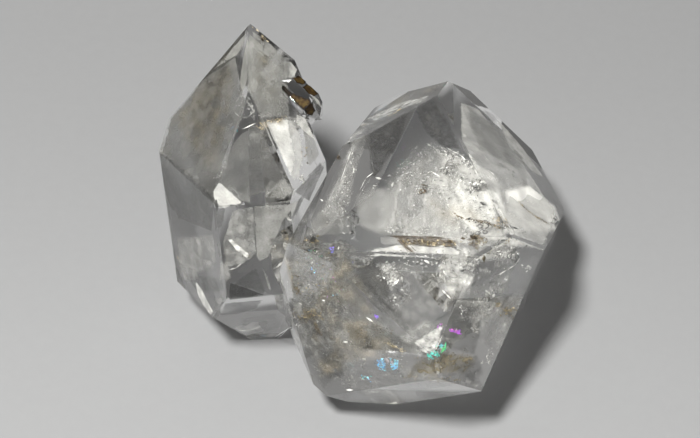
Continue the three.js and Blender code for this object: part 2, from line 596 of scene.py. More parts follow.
class HERKIMER_OT_crystals(bpy.types.Operator):
    """Adds the clear crystals in place of the plain CAD solid"""

    bl_idname = "herkimer.crystals"
    bl_label = "Clear crystals"

    def execute(self, context):
        settings = context.scene.herkimer_crystals
        bm = crystal_copy()
        etch_faces(bm)
        wear_edges(bm, settings.edge_round)
        crystals = piece_from(bm, "clear_crystals", quartz_material(settings))
        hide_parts(NODE)
        return {"FINISHED"}


# ---- What lies inside ----

# A place is (across, down, depth): where it shows in the camera's view, in pixels, and how deep it
# lies in the quartz, in mm. A sheet has its four corners in turn, then the share covered, the flake
# radius, how far flakes stray from the sheet, their tones, how much they clump and how long they
# are. A thread has its points, then a count, the flake radius, how far flakes stray and their tones.
# A needle has its points, width and tone. A knot has its place, radius, count, flake radius and
# tones. Tones run from 0, dark, to 1, white.
VEILS_AND_PAINTED_GLINTS = [
    # The great veil under the right crystal's broad upper face.
    ("sheet", ((430, 186, 2.0), (462, 172, 2.2), (512, 238, 3.0), (460, 240, 2.4)),
     0.3, 0.024, 0.25, (0.78, 1.0), 0.35),
    ("sheet", ((398, 214, 1.6), (432, 184, 2.0), (466, 238, 2.4), (388, 235, 1.8)),
     0.15, 0.024, 0.2, (0.6, 1.0), 0.45),
    ("sheet", ((384, 170, 1.4), (420, 136, 1.4), (462, 152, 2.0), (428, 192, 2.0)),
     0.16, 0.022, 0.3, (0.5, 0.95), 0.5),
    ("sheet", ((436, 146, 1.8), (424, 140, 1.8), (452, 176, 2.1), (482, 190, 2.3)),
     0.3, 0.028, 0.2, (0.6, 1.0), 0.5, 4.0),
    ("sheet", ((396, 176, 1.3), (432, 168, 1.7), (470, 200, 2.2), (408, 212, 1.6)),
     0.2, 0.032, 0.2, (0.25, 1.0), 0.55, 2.2),
    ("sheet", ((385, 226, 1.2), (445, 222, 1.6), (452, 238, 1.6), (380, 240, 1.2)),
     0.35, 0.035, 0.15, (0.5, 1.0), 0.55, 2.0),
    ("needle", at_depth(1.5, (430, 171), (441, 177)), 0.09, 1.0),
    ("needle", ((446, 147, 1.6), (452, 151, 1.6), (459, 154, 1.7), (466, 160, 1.8)), 0.07, 1.0),
    ("needle", ((469, 160, 1.7), (474, 168, 1.8), (478, 176, 1.8)), 0.06, 0.95),
    ("thread", ((444, 150, 1.7), (458, 156, 1.8), (468, 165, 1.9)), 120, 0.035, 0.2, (0.7, 1.0)),
    ("knot", (446, 172, 1.7), 0.55, 60, 0.045, (0.6, 1.0)),
    ("knot", (457, 176, 1.9), 0.5, 50, 0.045, (0.7, 1.0)),
    ("knot", (419, 189, 1.5), 0.4, 50, 0.045, (0.6, 1.0)),
    ("knot", (484, 184, 1.9), 0.6, 90, 0.05, (0.1, 0.9)),
    ("knot", (478, 183, 1.8), 0.3, 40, 0.06, (0.8, 1.0)),
    ("knot", (482, 228, 2.0), 0.55, 60, 0.045, (0.2, 1.0)),
    ("thread", ((462, 236, 2.0), (486, 214, 2.2), (470, 200, 2.2)), 110, 0.03, 0.5, (0.05, 0.35)),
    ("thread", ((366, 190, 0.9), (405, 176, 1.2), (434, 160, 1.5)), 90, 0.03, 0.35, (0.6, 1.0)),
    # Streaks under its right flank.
    ("needle", at_depth(0.5, (484, 155), (490, 163), (497, 169)), 0.07, 1.0),
    ("needle", at_depth(0.5, (488, 170), (497, 177)), 0.1, 1.0),
    ("needle", at_depth(0.6, (503, 178), (514, 186), (527, 198)), 0.06, 0.95),
    ("needle", at_depth(0.6, (506, 186), (518, 198), (530, 206)), 0.05, 0.95),
    ("needle", at_depth(0.6, (510, 176), (528, 192), (545, 210)), 0.045, 0.9),
    ("needle", at_depth(0.6, (494, 178), (506, 192), (518, 206)), 0.04, 0.95),
    ("thread", at_depth(0.6, (495, 160), (508, 170), (516, 178)), 60, 0.035, 0.2, (0.05, 0.5)),
    ("sheet", ((497, 172, 0.7), (512, 172, 0.7), (550, 218, 0.8), (530, 222, 0.9)),
     0.12, 0.022, 0.12, (0.8, 1.0), 0.35, 3.0),
    ("sheet", ((508, 212, 0.8), (534, 205, 0.8), (551, 228, 0.7), (541, 248, 0.8)),
     0.12, 0.024, 0.1, (0.9, 1.0), 0.2, 1.5),
    ("sheet", ((460, 100, 0.6), (462, 104, 0.6), (477, 142, 0.8), (460, 138, 0.8)),
     0.06, 0.022, 0.1, (0.7, 1.0), 0.35, 2.0),
    ("thread", at_depth(0.8, (503, 220), (513, 229), (525, 232)), 30, 0.04, 0.18, (0.0, 0.3)),
    # The narrow face over its crown.
    ("needle", at_depth(0.15, (402, 105), (410, 102), (418, 99)), 0.14, 1.0),
    ("needle", at_depth(0.15, (384, 113), (392, 108)), 0.1, 1.0),
    ("thread", at_depth(0.2, (367, 119), (385, 113), (402, 107)), 120, 0.03, 0.08, (0.75, 1.0)),
    # Below the ledges, towards the left crystal.
    ("sheet", ((338, 176, 0.5), (352, 148, 0.5), (358, 168, 0.8), (346, 200, 0.8)),
     0.12, 0.024, 0.15, (0.75, 1.0), 0.45, 2.5),
    ("needle", at_depth(0.3, (341, 180), (347, 163), (352, 148)), 0.1, 1.0),
    ("needle", at_depth(0.3, (360, 190), (366, 178), (374, 171)), 0.06, 1.0),
    ("thread", at_depth(0.4, (344, 206), (351, 220), (350, 240)), 50, 0.045, 0.15, (0.0, 0.25)),
    ("thread", ((330, 205, 0.5), (345, 215, 0.5), (352, 236, 0.6)), 90, 0.03, 0.35, (0.6, 1.0)),
    ("sheet", ((330, 190, 0.6), (352, 186, 0.8), (352, 232, 0.9), (322, 226, 0.7)),
     0.08, 0.024, 0.3, (0.5, 1.0), 0.5),
    # The clouded front.
    ("sheet", ((296, 240, 0.8), (345, 232, 1.2), (372, 300, 2.0), (300, 320, 1.2)),
     0.13, 0.03, 0.6, (0.35, 0.9), 0.5),
    ("sheet", ((290, 262, 0.4), (330, 250, 0.8), (340, 330, 1.2), (296, 320, 0.5)),
     0.12, 0.035, 0.3, (0.3, 0.95), 0.6, 2.0),
    ("sheet", ((320, 300, 1.4), (395, 318, 2.0), (410, 352, 2.0), (318, 352, 1.4)),
     0.16, 0.03, 0.5, (0.4, 0.9), 0.5),
    ("sheet", ((330, 352, 1.0), (400, 350, 1.4), (420, 382, 1.2), (335, 390, 0.8)),
     0.1, 0.03, 0.3, (0.3, 0.9), 0.5),
    ("sheet", ((372, 262, 1.5), (410, 258, 2.0), (416, 300, 2.2), (392, 306, 2.0)),
     0.22, 0.03, 0.3, (0.4, 1.0), 0.55),
    ("knot", (388, 274, 1.2), 0.5, 60, 0.04, (0.6, 1.0)),
    ("knot", (391, 281, 1.2), 0.3, 26, 0.055, (0.85, 1.0)),
    ("knot", (399, 277, 1.3), 0.3, 30, 0.05, (0.6, 1.0)),
    ("sheet", ((399, 286, 1.4), (409, 288, 1.5), (413, 300, 1.6), (402, 298, 1.5)),
     0.25, 0.028, 0.12, (0.7, 0.9), 0.2),
    ("sheet", ((440, 270, 1.2), (450, 256, 1.2), (462, 262, 1.4), (448, 286, 1.4)),
     0.22, 0.032, 0.2, (0.4, 0.95), 0.4),
    ("knot", (447, 272, 1.2), 0.45, 45, 0.045, (0.4, 1.0)),
    ("knot", (462, 268, 1.3), 0.45, 40, 0.04, (0.3, 1.0)),
    ("knot", (470, 258, 1.2), 0.35, 50, 0.045, (0.6, 1.0)),
    ("needle", at_depth(1.2, (442, 290), (446, 294), (451, 299)), 0.09, 1.0),
    ("thread", ((410, 262, 1.0), (440, 256, 1.2), (470, 262, 1.2)), 160, 0.035, 0.3, (0.3, 1.0)),
    ("needle", at_depth(0.6, (322, 300), (325, 301)), 0.14, 1.0),
    ("needle", at_depth(0.6, (325, 303), (331, 316), (336, 327)), 0.045, 0.75),
    ("needle", at_depth(0.6, (338, 250), (339, 246)), 0.22, 1.0),
    ("needle", at_depth(0.8, (366, 317), (373, 322)), 0.18, 1.0),
    ("needle", at_depth(0.8, (343, 342), (348, 342)), 0.14, 1.0),
    ("needle", at_depth(0.3, (346, 390), (353, 390)), 0.18, 1.0),
    ("needle", at_depth(0.3, (368, 392), (379, 392)), 0.08, 1.0),
    ("needle", at_depth(0.3, (431, 380), (439, 381)), 0.07, 1.0),
    ("thread", at_depth(0.8, (318, 362), (330, 372), (342, 378)), 70, 0.03, 0.12, (0.6, 0.95)),
    ("thread", ((286, 282, 0.15), (291, 300, 0.2), (300, 330, 0.2)), 80, 0.03, 0.12, (0.4, 1.0)),
    # Crackle under the lower right face.
    ("sheet", ((490, 250, 0.8), (520, 242, 0.8), (520, 262, 0.9), (488, 290, 1.0)),
     0.3, 0.04, 0.2, (0.2, 1.0), 0.6, 2.5),
    ("needle", at_depth(0.7, (498, 275), (507, 270), (515, 265), (520, 258)), 0.07, 1.0),
    ("knot", (497, 254, 0.7), 0.4, 50, 0.05, (0.3, 1.0)),
    ("knot", (510, 253, 0.7), 0.35, 50, 0.05, (0.1, 1.0)),
    ("knot", (489, 294, 0.8), 0.4, 60, 0.06, (0.5, 1.0)),
    ("knot", (500, 290, 0.8), 0.25, 40, 0.06, (0.7, 1.0)),
    ("thread", at_depth(0.7, (522, 266), (530, 268)), 25, 0.04, 0.1, (0.7, 1.0)),
    ("sheet", ((468, 268, 1.0), (520, 262, 0.9), (505, 310, 1.0), (458, 322, 1.1)),
     0.1, 0.03, 0.4, (0.3, 1.0), 0.5),
    ("thread", at_depth(0.9, (461, 305), (465, 320)), 25, 0.04, 0.1, (0.5, 1.0)),
    ("sheet", at_depth(0.5, (488, 350), (497, 345), (492, 366), (480, 364)),
     0.3, 0.035, 0.1, (0.6, 1.0), 0.5),
    # The left crystal.
    # Painted glints: white streaks along the edge between two of its upper faces.
    ("sheet", at_depth(0.5, (222, 146), (228, 148), (222, 178), (214, 180)),
     0.1, 0.024, 0.1, (0.7, 1.0), 0.5, 2.5),
    ("needle", at_depth(1.0, (221, 147), (218, 158), (215, 167)), 0.06, 0.95),
    ("needle", at_depth(1.0, (217, 160), (214, 163)), 0.16, 1.0),
    ("needle", at_depth(0.8, (243, 129), (256, 123)), 0.08, 1.0),
    ("thread", at_depth(0.6, (230, 128), (236, 120), (240, 100), (252, 108), (254, 120)),
     130, 0.022, 0.18, (0.7, 1.0)),
    ("needle", at_depth(0.3, (240, 92), (242, 100), (250, 104), (254, 112)), 0.03, 0.9),
    ("needle", at_depth(0.3, (236, 102), (240, 96), (246, 96), (251, 101)), 0.03, 0.9),
    ("needle", at_depth(0.3, (234, 112), (240, 117), (248, 117), (253, 112)), 0.03, 0.9),
    ("needle", at_depth(0.3, (238, 76), (240, 88), (244, 98), (254, 112)), 0.025, 0.8),
    ("sheet", ((262, 125, 0.8), (300, 120, 0.8), (318, 158, 0.7), (288, 182, 0.9)),
     0.04, 0.022, 0.1, (0.8, 1.0), 0.35),
    ("knot", (301, 178, 1.0), 0.2, 40, 0.05, (0.9, 1.0)),
    ("sheet", ((228, 238, 1.0), (233, 240, 1.0), (252, 257, 1.2), (246, 262, 1.2)),
     0.4, 0.03, 0.08, (0.85, 1.0), 0.3, 2.5),
    ("needle", at_depth(0.8, (228, 270), (236, 268), (243, 262)), 0.08, 1.0),
    # Painted glints: bright lines along its lower edges.
    ("needle", at_depth(0.3, (195, 283), (199, 296), (206, 308), (213, 317)), 0.12, 1.0),
    ("needle", at_depth(0.2, (236, 333), (248, 331), (262, 326)), 0.16, 1.0),
    ("needle", at_depth(0.1, (272, 341), (284, 336), (293, 330)), 0.05, 1.0),
    ("needle", at_depth(0.8, (250, 213), (262, 209)), 0.035, 0.0),
    ("knot", (180, 261, 0.4), 0.2, 26, 0.045, (0.6, 1.0)),
    ("sheet", ((236, 205, 1.4), (252, 203, 1.4), (256, 250, 1.6), (244, 248, 1.6)),
     0.05, 0.024, 0.2, (0.6, 0.95), 0.4),
    ("thread", at_depth(0.3, (320, 137), (326, 150), (332, 158)), 16, 0.02, 0.1, (0.5, 0.8)),
    ("knot", (166, 127, 0.1), 0.05, 5, 0.03, (0.0, 0.1)),
]

IRON = [
    ("thread", at_depth(2.0, (455, 215), (466, 219), (482, 221), (500, 228)),
     130, 0.028, 0.05, (0.35, 0.85)),
    ("knot", (474, 240, 1.2), 0.4, 90, 0.06, (0.2, 0.75)),
    ("knot", (481, 241, 1.2), 0.3, 60, 0.06, (0.3, 0.8)),
    ("thread", ((462, 244, 1.2), (474, 236, 1.3), (486, 243, 1.2)), 60, 0.035, 0.15, (0.2, 0.9)),
    ("knot", (421, 190, 1.4), 0.3, 26, 0.05, (0.35, 0.8)),
    ("thread", at_depth(0.5, (517, 200), (528, 211), (538, 218), (549, 224)),
     150, 0.026, 0.05, (0.45, 0.95)),
    ("thread", at_depth(0.15, (388, 116), (395, 113), (402, 108)), 50, 0.03, 0.05, (0.7, 1.0)),
    ("thread", at_depth(0.8, (400, 243), (425, 245), (452, 245)), 30, 0.03, 0.09, (0.1, 1.0)),
    ("needle", at_depth(0.7, (385, 235.8), (420, 236.4), (443, 237.2)), 0.07, 0.2),
    ("needle", at_depth(0.7, (408, 241), (420, 245.5), (438, 246.8), (456, 245)), 0.06, 0.2),
    ("needle", at_depth(0.7, (456, 238.5), (457, 245)), 0.05, 0.25),
    ("needle", at_depth(0.7, (397, 239), (405, 246), (413, 252.5)), 0.07, 0.3),
    ("needle", at_depth(0.7, (402, 239), (410, 245), (417, 252)), 0.04, 0.4),
    ("thread", at_depth(0.75, (412, 241), (432, 242.5), (452, 241.5)), 60, 0.028, 0.09, (0.05, 0.5)),
    ("sheet", ((291, 268, 0.4), (298, 276, 0.5), (300, 293, 0.5), (292, 296, 0.4)),
     0.4, 0.04, 0.12, (0.45, 0.85), 0.55),
    ("knot", (296, 291, 0.4), 0.28, 50, 0.05, (0.45, 0.75)),
    ("thread", at_depth(0.5, (307, 240), (312, 243), (318, 240)), 40, 0.03, 0.15, (0.5, 0.9)),
    ("thread", ((293, 310, 0.4), (300, 320, 0.4), (312, 312, 0.5), (320, 318, 0.5)),
     110, 0.035, 0.2, (0.3, 0.9)),
    ("sheet", at_depth(0.6, (312, 322), (316, 322), (323, 336), (316, 334)),
     0.75, 0.035, 0.06, (0.3, 0.7), 0.2),
    ("sheet", ((296, 250, 0.5), (330, 246, 0.6), (330, 300, 0.8), (300, 310, 0.5)),
     0.045, 0.03, 0.3, (0.5, 0.95), 0.6),
    ("thread", at_depth(0.7, (496, 305), (505, 309), (517, 311)), 70, 0.03, 0.09, (0.6, 1.0)),
    ("thread", at_depth(0.7, (500, 313), (512, 316)), 30, 0.03, 0.2, (0.5, 0.9)),
    ("sheet", ((405, 352, 1.0), (470, 350, 1.0), (478, 366, 0.8), (408, 372, 0.9)),
     0.06, 0.03, 0.3, (0.5, 0.85), 0.5),
    ("thread", at_depth(0.6, (405, 377), (425, 378), (445, 380), (458, 380)),
     60, 0.028, 0.12, (0.4, 0.85)),
    ("sheet", ((430, 358, 0.8), (470, 352, 0.8), (474, 368, 0.7), (440, 380, 0.7)),
     0.06, 0.028, 0.2, (0.45, 0.85), 0.45),
    ("needle", at_depth(0.6, (443, 356), (446, 368)), 0.05, 0.1),
    ("needle", at_depth(0.6, (449, 354), (452, 367)), 0.06, 0.1),
    ("needle", at_depth(0.6, (455, 356), (456, 370)), 0.05, 0.15),
    ("needle", at_depth(0.6, (438, 362), (442, 374)), 0.05, 0.2),
    ("thread", at_depth(0.8, (388, 344), (396, 347), (404, 352)), 70, 0.03, 0.09, (0.8, 1.0)),
    ("sheet", ((340, 320, 1.2), (400, 326, 1.6), (402, 345, 1.6), (345, 340, 1.2)),
     0.08, 0.03, 0.3, (0.6, 1.0), 0.5),
    ("thread", at_depth(0.1, (252, 25), (260, 33), (268, 42)), 50, 0.025, 0.06, (0.75, 1.0)),
    ("knot", (262, 39, 0.1), 0.18, 40, 0.035, (0.2, 0.6)),
    ("thread", at_depth(0.6, (258, 130), (268, 124), (285, 118)), 90, 0.026, 0.15, (0.85, 1.0)),
    ("knot", (306, 153, 0.5), 0.35, 26, 0.035, (0.4, 0.9)),
    ("thread", at_depth(0.9, (238, 246), (246, 254), (250, 258)), 26, 0.03, 0.08, (0.75, 1.0)),
    ("knot", (178, 258, 0.3), 0.14, 12, 0.04, (0.7, 0.95)),
    ("knot", (316, 125, 0.2), 0.22, 50, 0.045, (0.0, 0.35)),
    ("sheet", ((500, 215, 1.6), (512, 218, 1.6), (516, 232, 1.6), (495, 236, 1.8)),
     0.2, 0.03, 0.1, (0.8, 1.0), 0.4),
]

RAINBOWS = [
    ("sheet", at_depth(0.4, (376, 359), (386, 357), (386, 371), (378, 371)),
     0.8, 0.034, 0.06, (0.3, 0.48), 0.3),
    ("sheet", at_depth(0.4, (389, 358), (398, 358), (399, 371), (391, 370)),
     0.8, 0.034, 0.06, (0.32, 0.5), 0.3),
    ("knot", (386, 360, 0.4), 0.16, 20, 0.035, (0.95, 1.0)),
    ("knot", (393, 364, 0.4), 0.16, 20, 0.035, (0.95, 1.0)),
    ("sheet", ((413, 344, 0.9), (432, 330, 1.0), (442, 336, 1.0), (428, 356, 0.8)),
     0.06, 0.024, 0.1, (0.93, 1.0), 0.45, 1.3),
    ("sheet", at_depth(1.0, (432, 328), (444, 325), (442, 336), (436, 340)),
     0.06, 0.024, 0.1, (0.93, 1.0), 0.4),
    ("knot", (440, 326, 0.9), 0.18, 16, 0.035, (0.0, 0.12)),
    ("knot", (456, 331, 0.8), 0.1, 24, 0.05, (0.96, 1.0)),
    ("thread", at_depth(0.8, (450, 329), (456, 332), (461, 332)), 60, 0.035, 0.06, (0.0, 0.1)),
    ("knot", (459, 333, 0.8), 0.1, 20, 0.04, (0.0, 0.12)),
    ("knot", (437, 354, 0.8), 0.24, 44, 0.05, (0.5, 0.6)),
    ("knot", (443, 349, 0.8), 0.26, 44, 0.05, (0.6, 0.76)),
    ("knot", (439, 351, 0.8), 0.18, 30, 0.05, (0.95, 1.0)),
    ("knot", (441, 346, 0.8), 0.16, 20, 0.04, (0.42, 0.5)),
    ("knot", (332, 249, 0.5), 0.14, 20, 0.035, (0.14, 0.2)),
    ("knot", (377, 317, 0.8), 0.16, 24, 0.04, (0.12, 0.2)),
    ("sheet", at_depth(0.6, (360, 374), (372, 376), (372, 386), (362, 384)),
     0.12, 0.03, 0.06, (0.3, 0.6), 0.5),
    ("sheet", at_depth(1.2, (340, 305), (358, 302), (358, 310), (344, 312)),
     0.07, 0.028, 0.1, (0.86, 1.0), 0.4),
    ("sheet", ((300, 252, 0.6), (340, 250, 0.8), (350, 300, 1.0), (310, 300, 0.8)),
     0.012, 0.022, 0.4, (0.0, 1.0), 0.5),
    ("knot", (233, 129, 0.6), 0.16, 26, 0.035, (0.3, 0.5)),
]

# Haze: the outline, how much of the light it stops, its tones, the width over which it fades, in mm,
# then how cloudy it is, how fine its clouds are and how far they are drawn out. Round the great
# veil it is real cloud. Most other sheets are painted light and painted shade: light and dark
# panels for what shows through the clear quartz, and painted glints.
HAZE_AND_PAINTED_LIGHT = [
    # The great veil, and what is round it.
    (((396, 238, 1.6), (402, 222, 1.6), (422, 206, 1.6), (424, 176, 1.8), (452, 159, 2.0),
      (476, 160, 2.1), (498, 186, 2.4), (522, 239, 2.6), (462, 243, 2.2)),
     0.6, (0.89, 0.95), 0.55, 0.12, 1.4, 1.6),
    (((448, 216, 2.0), (434, 186, 2.0), (440, 152, 2.0), (466, 150, 2.2), (500, 182, 2.6),
      (514, 240, 2.6), (474, 236, 2.2)), 0.68, (0.97, 1.0), 0.6, 0.12, 1.4, 1.6),
    (((378, 238, 1.4), (384, 180, 1.4), (414, 156, 1.4), (440, 146, 1.8), (466, 158, 2.2),
      (456, 200, 2.2), (424, 238, 1.8)), 0.4, (0.74, 0.9), 0.9, 0.2, 1.8, 2.5),
    (((350, 226, 1.0), (354, 194, 1.0), (374, 184, 1.4), (398, 190, 1.4), (406, 236, 1.4),
      (376, 236, 1.3)), 0.3, (0.76, 0.88), 0.6, 0.12, 1.0, 1.5),
    (((372, 250, 1.6), (400, 257, 1.6), (440, 262, 1.6), (450, 300, 1.8), (430, 345, 1.6),
      (380, 340, 1.6), (360, 290, 1.6)), 0.16, (0.5, 0.8), 0.8, 0.5, 2.2),
    # Under its right flank: painted light and painted shade, bright and darker panels for what shows
    # through the flank.
    (((460, 101, 0.4), (478, 108, 0.4), (520, 158, 0.4), (557, 214, 0.4), (545, 247, 0.5),
      (515, 237, 0.6), (480, 176, 0.6), (460, 138, 0.5)), 0.45, (0.92, 0.96), 0.2, 0.1, 0.6, 1.5),
    (((500, 188, 0.5), (526, 182, 0.4), (558, 206, 0.4), (561, 218, 0.4), (547, 249, 0.45),
      (514, 241, 0.5)), 1.0, (1.0, 1.0), 0.5, 0.06, 0.6, 1.5),
    (at_depth(0.6, (461, 103), (474, 136), (460, 139)), 0.55, (0.97, 1.0), 0.15, 0.1),
    (at_depth(0.25, (464, 102), (500, 128), (530, 164), (520, 172), (478, 150), (470, 128)),
     0.5, (0.38, 0.5), 0.5, 0.08),
    (at_depth(0.2, (494, 114), (522, 146), (546, 180), (532, 172), (508, 146)),
     0.6, (0.78, 0.88), 0.2, 0.1),
    # Beside the spindle.
    (((444, 250, 0.9), (468, 245, 0.8), (480, 260, 0.8), (474, 284, 1.0), (460, 304, 1.0),
      (446, 296, 1.2), (436, 266, 1.0)), 0.62, (0.8, 0.96), 0.4, 0.35, 2.0),
    (((452, 239, 0.9), (512, 238, 0.8), (500, 248, 0.8), (472, 262, 1.0), (456, 252, 0.9)),
     0.2, (0.85, 1.0), 0.25, 0.4, 2.4),
    (((498, 296, 0.5), (523, 292, 0.5), (514, 322, 0.5), (498, 356, 0.4), (488, 352, 0.4)),
     0.4, (0.7, 0.88), 0.25, 0.35, 1.8),
    # Along the ledges: painted light and painted shade.
    (((318, 210, 0.5), (352, 132, 0.4), (372, 122, 0.4), (356, 168, 0.5), (352, 205, 0.7),
      (334, 232, 0.7)), 0.3, (0.55, 0.85), 0.4, 0.3, 1.2, 2.5),
    (((300, 238, 0.4), (318, 208, 0.5), (340, 214, 0.7), (352, 236, 0.7)),
     0.25, (0.5, 0.8), 0.4, 0.3, 1.5, 1.5),
    # The clouded front: light and smoky panels, the smoky ones painted shade.
    (((292, 236, 0.4), (345, 234, 0.8), (372, 300, 1.4), (340, 345, 1.0), (305, 345, 0.5),
      (283, 292, 0.3), (283, 262, 0.3)), 0.55, (0.3, 0.62), 0.3, 0.6, 2.6),
    (((350, 270, 1.0), (364, 275, 1.1), (397, 312, 1.3), (393, 323, 1.3), (374, 308, 1.2)),
     0.6, (0.0, 0.25), 0.2, 0.5, 2.0, 1.8),
    (((300, 322, 0.5), (345, 318, 1.0), (352, 372, 0.8), (322, 392, 0.4), (304, 350, 0.4)),
     0.42, (0.05, 0.45), 0.4, 0.5, 2.6),
    (((345, 240, 1.2), (380, 262, 1.5), (400, 330, 1.6), (350, 345, 1.4), (330, 300, 1.3)),
     0.25, (0.2, 0.6), 0.5, 0.5, 2.6),
    (at_depth(0.8, (352, 253), (362, 251), (372, 256), (370, 267), (357, 268)),
     0.6, (0.08, 0.36), 0.2, 0.5, 3.0),
    (((316, 348, 0.4), (344, 346, 0.8), (346, 378, 0.5), (324, 382, 0.3)),
     0.52, (0.05, 0.3), 0.4, 0.5, 2.6),
    (((330, 372, 0.4), (420, 366, 0.6), (470, 384, 0.3), (340, 394, 0.2)),
     0.2, (0.3, 0.8), 0.3, 0.5, 2.6),
    (((468, 256, 0.7), (522, 250, 0.6), (505, 310, 0.7), (486, 352, 0.5), (452, 320, 1.0)),
     0.2, (0.3, 0.8), 0.5, 0.6, 2.2),
    (((346, 260, 1.0), (374, 256, 1.2), (396, 286, 1.3), (390, 302, 1.3), (366, 288, 1.1)),
     0.55, (0.03, 0.25), 0.3, 0.5, 2.2),
    (at_depth(0.8, (354, 322), (394, 326), (398, 341), (370, 343)), 0.5, (0.25, 0.5), 0.3, 0.5, 2.2),
    (((452, 368, 0.4), (478, 352, 0.4), (486, 374, 0.3), (470, 388, 0.3)),
     0.45, (0.05, 0.3), 0.3, 0.5, 2.2),
    (((376, 264, 1.2), (392, 262, 1.2), (403, 284, 1.3), (390, 293, 1.3)),
     0.32, (0.82, 0.96), 0.3, 0.5, 2.4),
    # A pale plane with a straight edge, over a dark one.
    (((412, 342, 0.4), (438, 326, 0.5), (446, 323, 0.5), (440, 345, 0.4), (431, 356, 0.4),
      (420, 351, 0.4)), 0.6, (0.84, 0.95), 0.18, 0.4, 3.0),
    (((398, 336, 0.6), (420, 320, 0.6), (446, 318, 0.6), (436, 348, 0.5), (420, 358, 0.5),
      (402, 352, 0.5)), 0.35, (0.6, 0.8), 0.4, 0.5, 2.4),
    (((450, 318, 0.9), (484, 318, 0.8), (476, 356, 0.6), (446, 350, 0.8)),
     0.45, (0.1, 0.36), 0.25, 0.5, 2.0),
    # The band under the spindle: painted light, a pale band where lit paper shows through.
    (at_depth(0.9, (358, 256), (384, 246), (398, 243), (452, 246), (461, 251), (458, 256), (402, 257)),
     0.65, (0.9, 0.96), 0.16, 0.12, 1.5),
    (at_depth(0.9, (378, 236), (420, 232), (462, 236), (462, 248), (420, 247), (380, 246)),
     0.3, (0.86, 0.93), 0.3, 0.2, 1.5),
    # The light rim over its crown, painted light, and the dark crown, painted shade.
    (at_depth(0.2, (368, 118), (402, 102), (430, 95), (426, 101), (402, 109), (374, 122)),
     0.45, (0.8, 0.92), 0.12, 0.3, 2.0),
    (((366, 126, 0.4), (390, 117, 0.5), (409, 109, 0.5), (402, 142, 0.6), (384, 172, 0.6),
      (371, 180, 0.5), (364, 152, 0.4)), 0.76, (0.0, 0.15), 0.2, 0.36, 2.6),
    (((410, 108, 0.4), (432, 98, 0.4), (447, 116, 0.5), (463, 150, 0.6), (444, 150, 0.8), (424, 132, 0.8)),
     0.68, (0.0, 0.11), 0.3, 0.3, 1.5),
    # The left crystal: painted light and painted shade on its dull upper left face and flank.
    (((161, 130, 0.25), (166, 116, 0.25), (206, 76, 0.25), (236, 55, 0.3), (241, 82, 0.3),
      (248, 101, 0.3), (237, 128, 0.3), (224, 160, 0.3), (214, 186, 0.3), (214, 202, 0.3),
      (161, 154, 0.3)), 0.8, (0.22, 0.34), 0.15, 0.12, 0.8),
    (at_depth(0.2, (160, 151), (189, 173), (219, 200), (211, 232), (168, 214)),
     0.75, (0.14, 0.24), 0.12, 0.1, 0.8),
    (((176, 236, 0.2), (214, 232, 0.2), (218, 266, 0.3), (198, 276, 0.2), (178, 266, 0.2)),
     0.5, (0.62, 0.8), 0.4, 0.2, 1.0),
    (((182, 272, 0.2), (222, 276, 0.3), (226, 292, 0.3), (200, 296, 0.2)),
     0.4, (0.1, 0.25), 0.4, 0.3, 1.4),
    (at_depth(0.3, (243, 131), (250, 127), (251, 203), (241, 202), (218, 183), (223, 160), (233, 140)),
     0.4, (0.26, 0.4), 0.08, 0.15, 1.4),
    (((249, 29, 0.2), (262, 40, 0.2), (266, 60, 0.25), (260, 88, 0.25), (250, 98, 0.25), (239, 84, 0.25),
      (235, 56, 0.25), (242, 40, 0.2)), 0.85, (0.52, 0.6), 0.12, 0.12, 1.0),
    # Painted glints along its lower edges.
    (((195, 280, 0.15), (201, 287, 0.15), (208, 301, 0.15), (214, 313, 0.12), (210, 316, 0.12),
      (203, 306, 0.12), (197, 293, 0.12)), 0.6, (0.97, 1.0), 0.15, 0.3),
    (((230, 330, 0.3), (248, 322, 0.3), (268, 321, 0.3), (264, 331, 0.25), (246, 336, 0.2)),
     1.0, (1.0, 1.0), 0.06, 0.2),
    (((251, 34, 0.3), (277, 50, 0.25), (290, 62, 0.25), (290, 118, 0.3), (260, 120, 0.3), (248, 92, 0.3)),
     0.55, (0.5, 0.6), 0.2, 0.1, 1.0),
    (at_depth(0.2, (251, 29), (264, 37), (280, 51), (274, 60), (254, 50)),
     0.6, (0.6, 0.7), 0.15, 0.15, 1.5),
    # Its front: more painted light and painted shade.
    (at_depth(0.3, (276, 164), (285, 172), (298, 196), (284, 201), (268, 199), (270, 180)),
     0.45, (0.56, 0.68), 0.35, 0.12),
    (((302, 122, 0.3), (312, 130, 0.3), (320, 155, 0.25), (309, 168, 0.25), (305, 150, 0.3)),
     0.5, (0.35, 0.5), 0.1, 0.15),
    (at_depth(0.3, (268, 236), (286, 232), (284, 270), (268, 266)), 0.6, (0.08, 0.22), 0.3, 0.3),
    (at_depth(0.5, (283, 61), (291, 61), (297, 70), (296, 78), (284, 78)), 0.8, (0.8, 0.88), 0.06, 0.15),
    (((264, 121, 0.6), (292, 118, 0.6), (301, 134, 0.5), (304, 157, 0.5), (299, 180, 0.6),
      (289, 182, 0.7)), 0.6, (0.82, 0.9), 0.2, 0.1, 0.8),
    (at_depth(0.5, (266, 123), (288, 117), (297, 160), (291, 180)), 0.6, (0.96, 1.0), 0.25, 0.12, 0.8),
    # A painted reflection of the lamp.
    (at_depth(0.25, (219, 181), (243, 202), (240, 206), (218, 208), (212, 192)),
     0.65, (0.84, 0.94), 0.1, 0.1),
    (((253, 204, 0.3), (299, 200, 0.3), (284, 226, 0.4), (268, 258, 0.4), (255, 262, 0.3)),
     0.62, (0.6, 0.72), 0.1, 0.1, 0.8),
    (((222, 244, 0.25), (232, 210, 0.25), (254, 206, 0.3), (257, 254, 0.3), (244, 264, 0.3),
      (226, 268, 0.3)), 0.5, (0.6, 0.76), 0.1, 0.2, 1.6),
